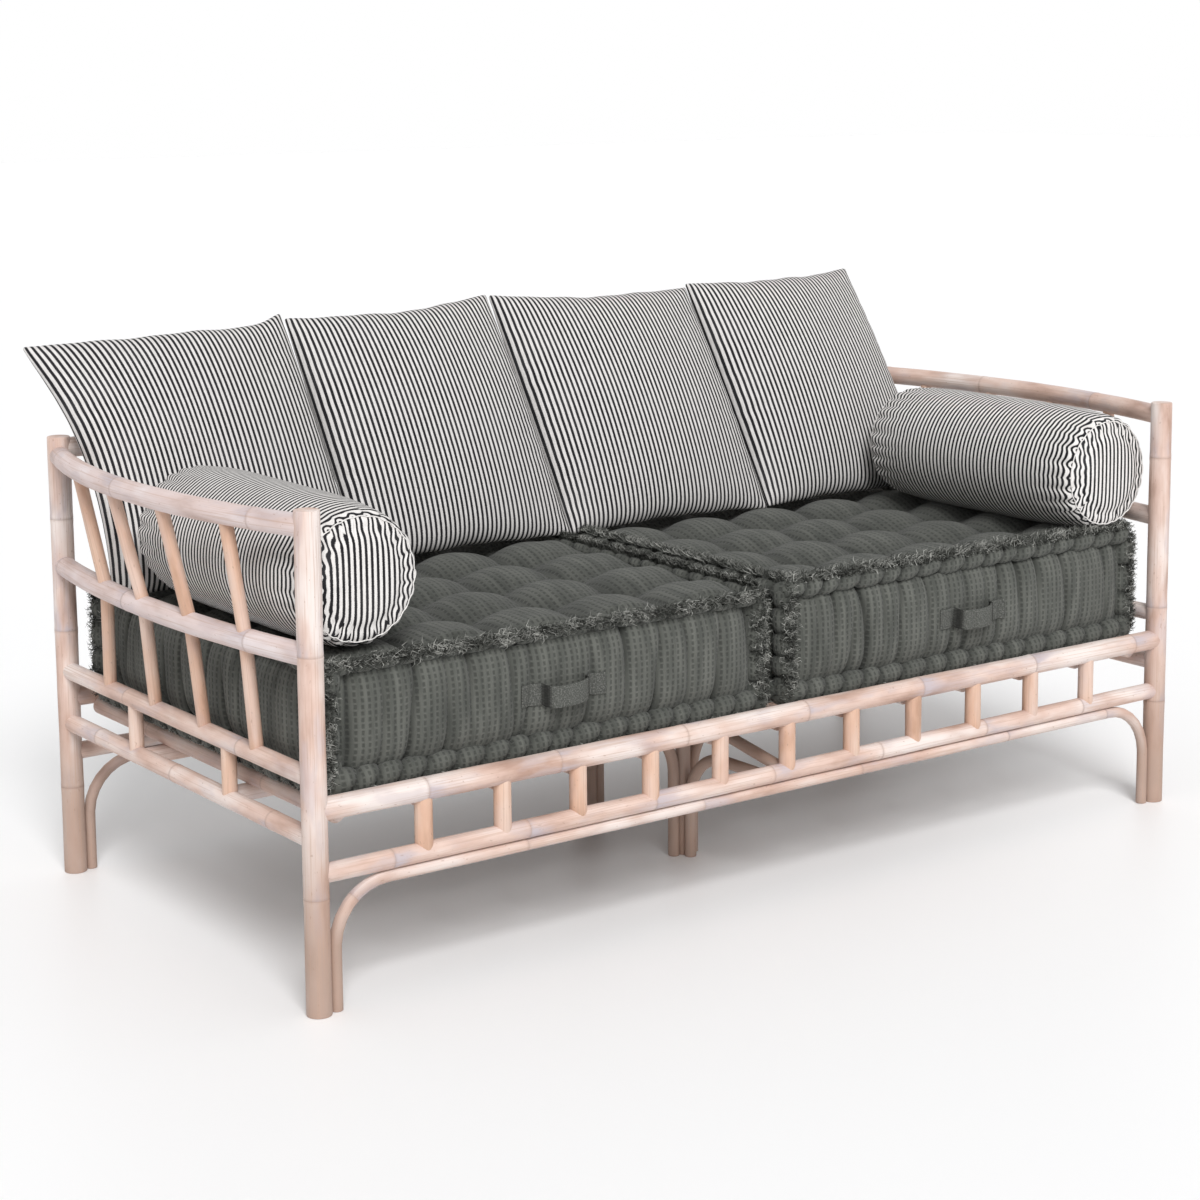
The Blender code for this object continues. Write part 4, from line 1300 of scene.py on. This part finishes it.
def ticking_finish(name, slub, cotton):
    """Ticking: black and natural stripes of thick yarn, their edges broken by single threads."""
    made, start, shader = new_finish(name, {"Roughness": 0.9, "Specular IOR Level": 0.25})
    weave = start.painted("weave", "Vector")
    frayed = weave.noise((420, 800, 1), 2.0)
    slubs = weave.noise((700, 60, 1), 2.0)
    worn = weave.noise((14, 14, 1), 3.0)
    across = weave.part("X") + frayed * 0.0016
    threads = weave.part("Y").hoops(THREAD)
    dark = across.hoops(STRIPE).between(0.60, 0.84)
    pale = slubs.between(0.30, 0.70).blend(slub, cotton)
    shaded = ((1 - threads) * 0.22).blend(pale, (0.42, 0.40, 0.38, 1))
    black = worn.between(0.40, 0.75).blend((0.010, 0.010, 0.012, 1), (0.032, 0.032, 0.035, 1))
    dark.blend(shaded, black).into(shader.inputs["Base Color"])
    (threads * 0.5 + across.hoops(STRIPE / 6) * 0.5).emboss(shader, 0.35, 0.0006)
    return made


TICKING = ticking_finish("striped_ticking", (0.72, 0.695, 0.675, 1), (0.88, 0.86, 0.84, 1))


def rest_on(piece, support, clearance):
    """Flattens the underside of a soft piece where it would sink into its support."""
    bed = BVHTree.FromObject(support, bpy.context.evaluated_depsgraph_get())
    places = places_of(piece)
    for number, place in enumerate(places):
        hit = bed.ray_cast(Vector((place[0], place[1], 1.0)), Vector((0, 0, -1)))[0]
        if hit and place[2] < hit.z + clearance:
            places[number, 2] = hit.z + clearance
    set_places(piece, places)


def puckers(angle, lines, push):
    """Smooth waves round a bolster's end: high between its gathers and low on each."""
    swell, number = flutes(angle, lines)
    return (swell**4 * (3 - 2 * swell**2) - 0.5) * push[number]


def bolster(side, dice):
    low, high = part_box(f"{side}_bolster")
    radius = BOLSTER_RADIUS
    seam = SEAM_RADIUS
    length = high.y - low.y - 2 * BOLSTER_DOME
    inset = radius - BOLSTER_SINK
    edge = inset - BOLSTER_ASIDE
    beside = low.x + edge if side == "left" else high.x - edge
    middle = Vector((beside, (low.y + high.y) / 2 - BOLSTER_FORWARD[side], low.z + inset))
    bpy.ops.object.select_all(action="DESELECT")
    bpy.ops.mesh.primitive_cylinder_add(
        vertices=BOLSTER_SIDES, radius=seam, depth=length, calc_uvs=False, rotation=(math.pi / 2, 0, 0)
    )
    roll = bpy.context.object
    roll.name = f"{side}_bolster_pad"
    bpy.ops.object.transform_apply(location=True, rotation=True)
    bpy.ops.object.mode_set(mode="EDIT")
    bpy.ops.mesh.select_mode(type="FACE")
    shaping = bmesh.from_edit_mesh(roll.data)
    for face in shaping.faces:
        face.select_set(abs(face.normal.y) > 0.9)
    bmesh.update_edit_mesh(roll.data)
    for ring in range(END_RINGS):
        bpy.ops.mesh.inset(thickness=seam / (END_RINGS + 1), use_individual=True)
    bpy.ops.mesh.poke()
    select_edges(roll, lambda first, second: abs(first.y - second.y) > length / 2)
    bpy.ops.mesh.subdivide(number_cuts=BOLSTER_STEPS - 1)
    bpy.ops.object.mode_set(mode="OBJECT")
    mesh = roll.data
    places = places_of(roll)
    from_axis = np.hypot(places[:, 0], places[:, 2])
    from_end = np.clip(length / 2 - np.abs(places[:, 1]), 0, None)
    sleeve = from_axis > seam * 0.999
    at_seam = sleeve & (from_end < 1e-5)
    angle = np.arctan2(places[:, 2], places[:, 0])
    lines = creases(-math.pi - 0.3, math.pi + 0.3, PUCKER_SPACING, PUCKER_SPREAD, dice)
    push = np.array([dice.uniform(*PUCKER_PUSH) for line in lines])
    pucker = puckers(angle, lines, push)
    shaped = places.copy()
    inward = np.clip(from_end / BARREL, 0, 1)
    crown = np.sqrt(inward * (2 - inward))
    plump = 1 + np.where(sleeve, (radius / seam - 1) * crown, 0)
    shaped[:, 0] *= plump
    shaped[:, 2] *= plump
    set_places(roll, shaped)
    inflate(roll, at_seam, **BOLSTER_FILLING)
    filled = np.where(sleeve, inward, 1.0)[:, None]
    places = shaped + (places_of(roll) - shaped) * filled
    bulge = np.hypot(places[:, 0], places[:, 2])[sleeve].max()
    evened = np.where(sleeve, 1 + (radius / bulge - 1) * crown, 1)
    places[:, 0] *= evened
    places[:, 2] *= evened
    share = from_axis / seam
    rim = np.exp(-(((share - 0.80) / 0.07) ** 2))
    ends = np.sign(places[:, 1]) * (length / 2 + BOLSTER_DOME * (1 - share**4) - END_DENT * rim)
    ends += np.sign(places[:, 1]) * END_PUCKER * pucker * np.exp(-(((share - 0.90) / 0.08) ** 2))
    places[:, 1] = np.where(sleeve, places[:, 1], ends)
    fading = np.exp(-from_end / PUCKER_REACH) * (1 - np.exp(-from_end / PUCKER_START))
    drawn = 1 + np.where(sleeve, PUCKER_DEPTH * pucker * fading, 0)
    drawn += SCALLOP * pucker * np.where(sleeve, np.exp(-from_end / SCALLOP_REACH), share**6)
    places[:, 0] *= drawn
    places[:, 2] *= drawn
    corners = corners_of(roll)
    counts = np.empty(len(mesh.polygons), int)
    mesh.polygons.foreach_get("loop_total", counts)
    cap = np.repeat(np.array([(~sleeve[list(face.vertices)]).any() for face in mesh.polygons]), counts)
    gather = GATHER * pucker * np.exp(-((from_end / GATHER_REACH) ** 1.2))
    flow = places[:, 1] + np.where(sleeve, gather * np.sign(-places[:, 1]), 0)
    banded = np.clip((share - 0.66) / 0.20, 0, 1)
    twist = places[:, 0] + END_TWIST * pucker * banded * banded * (3 - 2 * banded)
    across = np.where(cap, twist[corners], flow[corners])
    along = np.where(cap, places[corners, 2], angle[corners] * radius)
    lay_weave(roll, np.stack([across, along], 1))
    set_places(roll, places + np.array(middle))
    refine(roll)
    rest_on(roll, seat_pads[side], SEAT_CLEARANCE)
    smooth(roll)
    dress(roll, TICKING, f"{side}_roll")
    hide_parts(f"{side}_bolster")
    for end, way in (("front", -1), ("rear", 1)):
        welt(f"{side}_bolster_{end}_welt", side, middle + Vector((0, way * length / 2, 0)), lines, push)


def welt(name, side, middle, lines, push):
    """The folded edge of natural cloth that shows as a thin line where sleeve and end are sewn."""
    bpy.ops.object.select_all(action="DESELECT")
    bpy.ops.mesh.primitive_torus_add(
        major_segments=BOLSTER_SIDES,
        minor_segments=6,
        major_radius=SEAM_RADIUS + WELT_RADIUS / 2,
        minor_radius=WELT_RADIUS,
        generate_uvs=False,
        rotation=(math.pi / 2, 0, 0),
        location=middle,
    )
    edge = bpy.context.object
    edge.name = name
    bpy.ops.object.transform_apply(location=True, rotation=True)
    places = places_of(edge) - np.array(middle)
    angle = np.arctan2(places[:, 2], places[:, 0])
    wavy = 1 + SCALLOP * puckers(angle, lines, push)
    set_places(edge, places * np.stack([wavy, np.ones(len(places)), wavy], 1) + np.array(middle))
    laid = np.stack([np.zeros(len(places)), angle * SEAM_RADIUS], 1)
    lay_weave(edge, laid[corners_of(edge)])
    smooth(edge)
    dress(edge, TICKING, f"{side}_roll")


for side, seed in (("left", 31), ("right", 47)):
    bolster(side, random.Random(seed))


# Back cushions: four striped knife-edge cushions stand on the seat and lean on the rear top rail.
# Each is two square panels sewn at the edge, softly stuffed, so that its corners stay pointed.
BACK_CELLS = (60, 1, 64)
OUTLINE_ROWS = 960
BACK_HEIGHT = 0.470
BACK_THICKNESS = 0.130
BACK_LEAN = math.radians(32)
BACK_PRESSURE = (3.0, 0.5)
BACK_CAP = 0.030
BACK_STIFFNESS = 10.0
HALF_SEAM = 0.003
FIRST_CROWN = 0.045
FIRST_DRAWN = (0.030, 0.034)
LEVEL_DRAWN = 0.022
EDGE_WAVES = ((0.006, 7, 1), (0.004, 17, 2))
SEAM_CREASE_SPACING = 0.034
SEAM_CREASE_SPREAD = 0.016
SEAM_CREASE_DEPTH = (0.0008, 0.0042)
SEAM_CREASE_LENGTH = (0.020, 0.055)
SEAM_CREASE_WIDTH = 0.008
SEAM_EDGE = 0.012
RAIL_TOUCH = 0.0015
BACK_SEED = 60
BACKS = {
    1: {"left": -0.900, "right": -0.4405, "rise": -0.004, "seat": "left", "drawn": (0.120, 0.010)},
    2: {"left": -0.4385, "right": -0.0050, "rise": 0.002, "seat": "left", "drawn": (0.010, 0.010)},
    3: {"left": -0.0030, "right": 0.4540, "rise": 0.004, "seat": "right", "drawn": (0.010, 0.010)},
    4: {"left": 0.4560, "right": 0.8860, "rise": 0.012, "seat": "right", "drawn": (0.010, 0.050)},
}
EARS = {
    1: {(-1, 1): (-0.032, -0.010, 0.14), (1, 1): (-0.003, 0.017, 0.036)},
    2: {(1, 1): (-0.004, 0.018, 0.12)},
    3: {(-1, 1): (0.0, 0.014, 0.12), (1, -1): (0.0, -0.004, 0.05)},
    4: {(1, 1): (-0.010, 0.008, 0.10)},
}
# Painted shade: the back cushions take a darker copy of the bolsters' ticking.
BACK_TICKING = ticking_finish("shaded_ticking", (0.61, 0.59, 0.575, 1), (0.76, 0.74, 0.73, 1))


def pucker_seams(places, across, along, half, dice):
    """Draws small creases in from the four seams, where the stitches gather the cloth."""
    face = np.sign(places[:, 1])
    for reach, other, size, length in (
        (1 - np.abs(across), along, half.x, half.z),
        (1 - np.abs(along), across, half.z, half.x),
    ):
        inward = reach * size
        for sign in (-1, 1):
            beside = np.sign(across if size == half.x else along) == sign
            for line in creases(-length, length, SEAM_CREASE_SPACING, SEAM_CREASE_SPREAD, dice):
                deep = dice.uniform(*SEAM_CREASE_DEPTH)
                far = dice.uniform(*SEAM_CREASE_LENGTH)
                aside = np.abs(other * length - line)
                dent = deep * np.exp(-aside / SEAM_CREASE_WIDTH) * np.exp(-inward / far)
                dent *= np.clip(inward / SEAM_EDGE, 0, 1)
                places[:, 1] -= np.where(beside, face * dent, 0)


def back_cushion(number, dice):
    facts = BACKS[number]
    low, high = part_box(f"back_cushion_{number}")
    width = facts["right"] - facts["left"]
    height = BACK_HEIGHT + facts["rise"]
    half = Vector((width / 2, HALF_SEAM, height / 2))
    cushion = cloth_box(f"back_cushion_{number}_pad", -half, half, BACK_CELLS)
    places = places_of(cushion)
    face = np.sign(places[:, 1])
    laid = np.stack([places[:, 0] * np.where(face > 0, 1 + 2 * half.y / half.x, 1), places[:, 2]], 1)
    lay_weave(cushion, laid[corners_of(cushion)])
    across = places[:, 0] / half.x
    along = places[:, 2] / half.z
    crown = (np.clip(1 - across**2, 0, 1) * np.clip(1 - along**2, 0, 1)) ** 0.60
    places[:, 1] += face * crown * FIRST_CROWN
    places[:, 0] *= 1 - FIRST_DRAWN[0] * (1 - along**2)
    places[:, 2] *= 1 - FIRST_DRAWN[1] * (1 - across**2)
    set_places(cushion, places)
    tip = (np.abs(across) > 0.97) & (np.abs(along) > 0.97)
    least, more = BACK_PRESSURE
    inflate(cushion, tip, least + more * dice.random(), BACK_CAP, BACK_STIFFNESS)
    places = places_of(cushion)
    thick = places[:, 1].max() - places[:, 1].min()
    places[:, 1] *= BACK_THICKNESS / thick
    fit_outline(places, across, along, half, facts["drawn"], dice.uniform(0, 6))
    pucker_seams(places, across, along, half, dice)
    for (right, upper), (aside, rise, spread) in EARS[number].items():
        corner = np.hypot(places[:, 0] - right * half.x, places[:, 2] - upper * half.z)
        pull = np.exp(-((corner / spread) ** 1.5))
        places[:, 0] += aside * pull
        places[:, 2] += rise * pull
    set_places(cushion, places)
    refine(cushion)
    places = places_of(cushion)
    turned = places.copy()
    turned[:, 1] = places[:, 1] * math.cos(BACK_LEAN) + places[:, 2] * math.sin(BACK_LEAN)
    turned[:, 2] = places[:, 2] * math.cos(BACK_LEAN) - places[:, 1] * math.sin(BACK_LEAN)
    middle = np.array((low + high) / 2)
    middle[0] = (facts["left"] + facts["right"]) / 2
    middle[2] += facts["rise"] / 2
    set_places(cushion, turned + middle)
    rest_on(cushion, seat_pads[facts["seat"]], SEAT_CLEARANCE)
    clear_rail(cushion)
    smooth(cushion)
    dress(cushion, BACK_TICKING, f"back_{number}")
    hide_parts(f"back_cushion_{number}")


def fit_outline(places, across, along, half, drawn, phase):
    """Brings the filled cushion back to its outline, drawn in between its corners, with its top and
    bottom edges a little wavy."""
    for axis, share, other, reach in ((0, across, along, half.x), (2, along, across, half.z)):
        rows = np.round(other * OUTLINE_ROWS).astype(int)
        for row in np.unique(rows):
            here = rows == row
            level = row / OUTLINE_ROWS
            waist = 1 - level**2
            waves = EDGE_WAVES if axis == 2 else ()
            wave = sum(deep * (1 + math.sin(rate * level + turn * phase)) for deep, rate, turn in waves)
            for sign in (-1, 1):
                edge = np.abs(places[here & (share * sign > 0.999), axis]).max()
                pulled = LEVEL_DRAWN if axis == 2 else drawn[(sign + 1) // 2]
                side = here & (share * sign > 0)
                places[side, axis] *= reach * (1 - (pulled + wave) * waist) / edge


def clear_rail(cushion):
    """Presses the back of a cushion in where it leans on the rear top rail."""
    rail = axis_of("rear_top_rail")
    keep = radius_of("rear_top_rail", 2) + RAIL_TOUCH
    places = places_of(cushion)
    near = np.hypot(places[:, 1] - rail.y, places[:, 2] - rail.z) < keep
    level = np.clip((places[:, 2] - rail.z) / keep, -1, 1)
    front = rail.y - keep * np.sqrt(1 - level**2)
    places[:, 1] = np.where(near, np.minimum(places[:, 1], front), places[:, 1])
    set_places(cushion, places)


for number in BACKS:
    back_cushion(number, random.Random(BACK_SEED + number))


# Stage: a plain white floor under a white sky, soft light from the front left, and a camera
# that stands where the photograph was taken from.
CAMERA_PLACE = (-2.6005, -3.48175, 1.3593)
CAMERA_YAW = math.radians(36.023)
CAMERA_PITCH = math.radians(8.769)
CAMERA_ROLL = math.radians(-0.456)
CAMERA_FOCUS = 2535.95 / 1200
CAMERA_SHIFT = -0.125
SENSOR = 36.0
KEY_WAY = (0.35, 0.78, -0.80)
KEY_STRENGTH = 2.45
KEY_SPREAD = math.radians(24)
SKY_STRENGTH = 0.52
FLOOR_SIZE = 60
FLOOR_PAINT = {"Base Color": (0.95, 0.95, 0.955, 1), "Roughness": 0.45}

bpy.ops.object.select_all(action="DESELECT")
bpy.ops.mesh.primitive_plane_add(size=FLOOR_SIZE)
floor = bpy.context.object
floor.name = "floor"
floor.data.materials.append(new_finish("floor_paint", FLOOR_PAINT)[0])

world = bpy.data.worlds.new("studio")
bpy.context.scene.world = world
world.use_nodes = True
sky = Socket(world.node_tree)
seen = sky.node("ShaderNodeLightPath", {}, {}, "Is Camera Ray")
glossy = sky.node("ShaderNodeLightPath", {}, {}, "Is Glossy Ray")
background = world.node_tree.nodes["Background"]
background.inputs["Color"].default_value = (1, 1, 1, 1)
(SKY_STRENGTH + (1 - SKY_STRENGTH) * seen.math("MAXIMUM", seen, glossy)).into(background.inputs["Strength"])

key = bpy.data.lights.new("key", "SUN")
key.energy = KEY_STRENGTH
key.angle = KEY_SPREAD
key_lamp = bpy.data.objects.new("key", key)
bpy.context.scene.collection.objects.link(key_lamp)
key_lamp.rotation_euler = Vector(KEY_WAY).to_track_quat("-Z", "Y").to_euler()

camera_data = bpy.data.cameras.new("photo_camera")
camera = bpy.data.objects.new("photo_camera", camera_data)
bpy.context.scene.collection.objects.link(camera)
bpy.context.scene.camera = camera
camera_data.sensor_width = SENSOR
camera_data.lens = CAMERA_FOCUS * SENSOR
camera_data.shift_y = CAMERA_SHIFT
forward = Vector((
    math.sin(CAMERA_YAW) * math.cos(CAMERA_PITCH),
    math.cos(CAMERA_YAW) * math.cos(CAMERA_PITCH),
    -math.sin(CAMERA_PITCH),
))
level = Vector((math.cos(CAMERA_YAW), -math.sin(CAMERA_YAW), 0))
upright = level.cross(forward)
right = level * math.cos(CAMERA_ROLL) + upright * math.sin(CAMERA_ROLL)
up = upright * math.cos(CAMERA_ROLL) - level * math.sin(CAMERA_ROLL)
camera.location = CAMERA_PLACE
camera.rotation_euler = Matrix((right, up, -forward)).transposed().to_euler()
bpy.context.scene.view_settings.view_transform = "Standard"
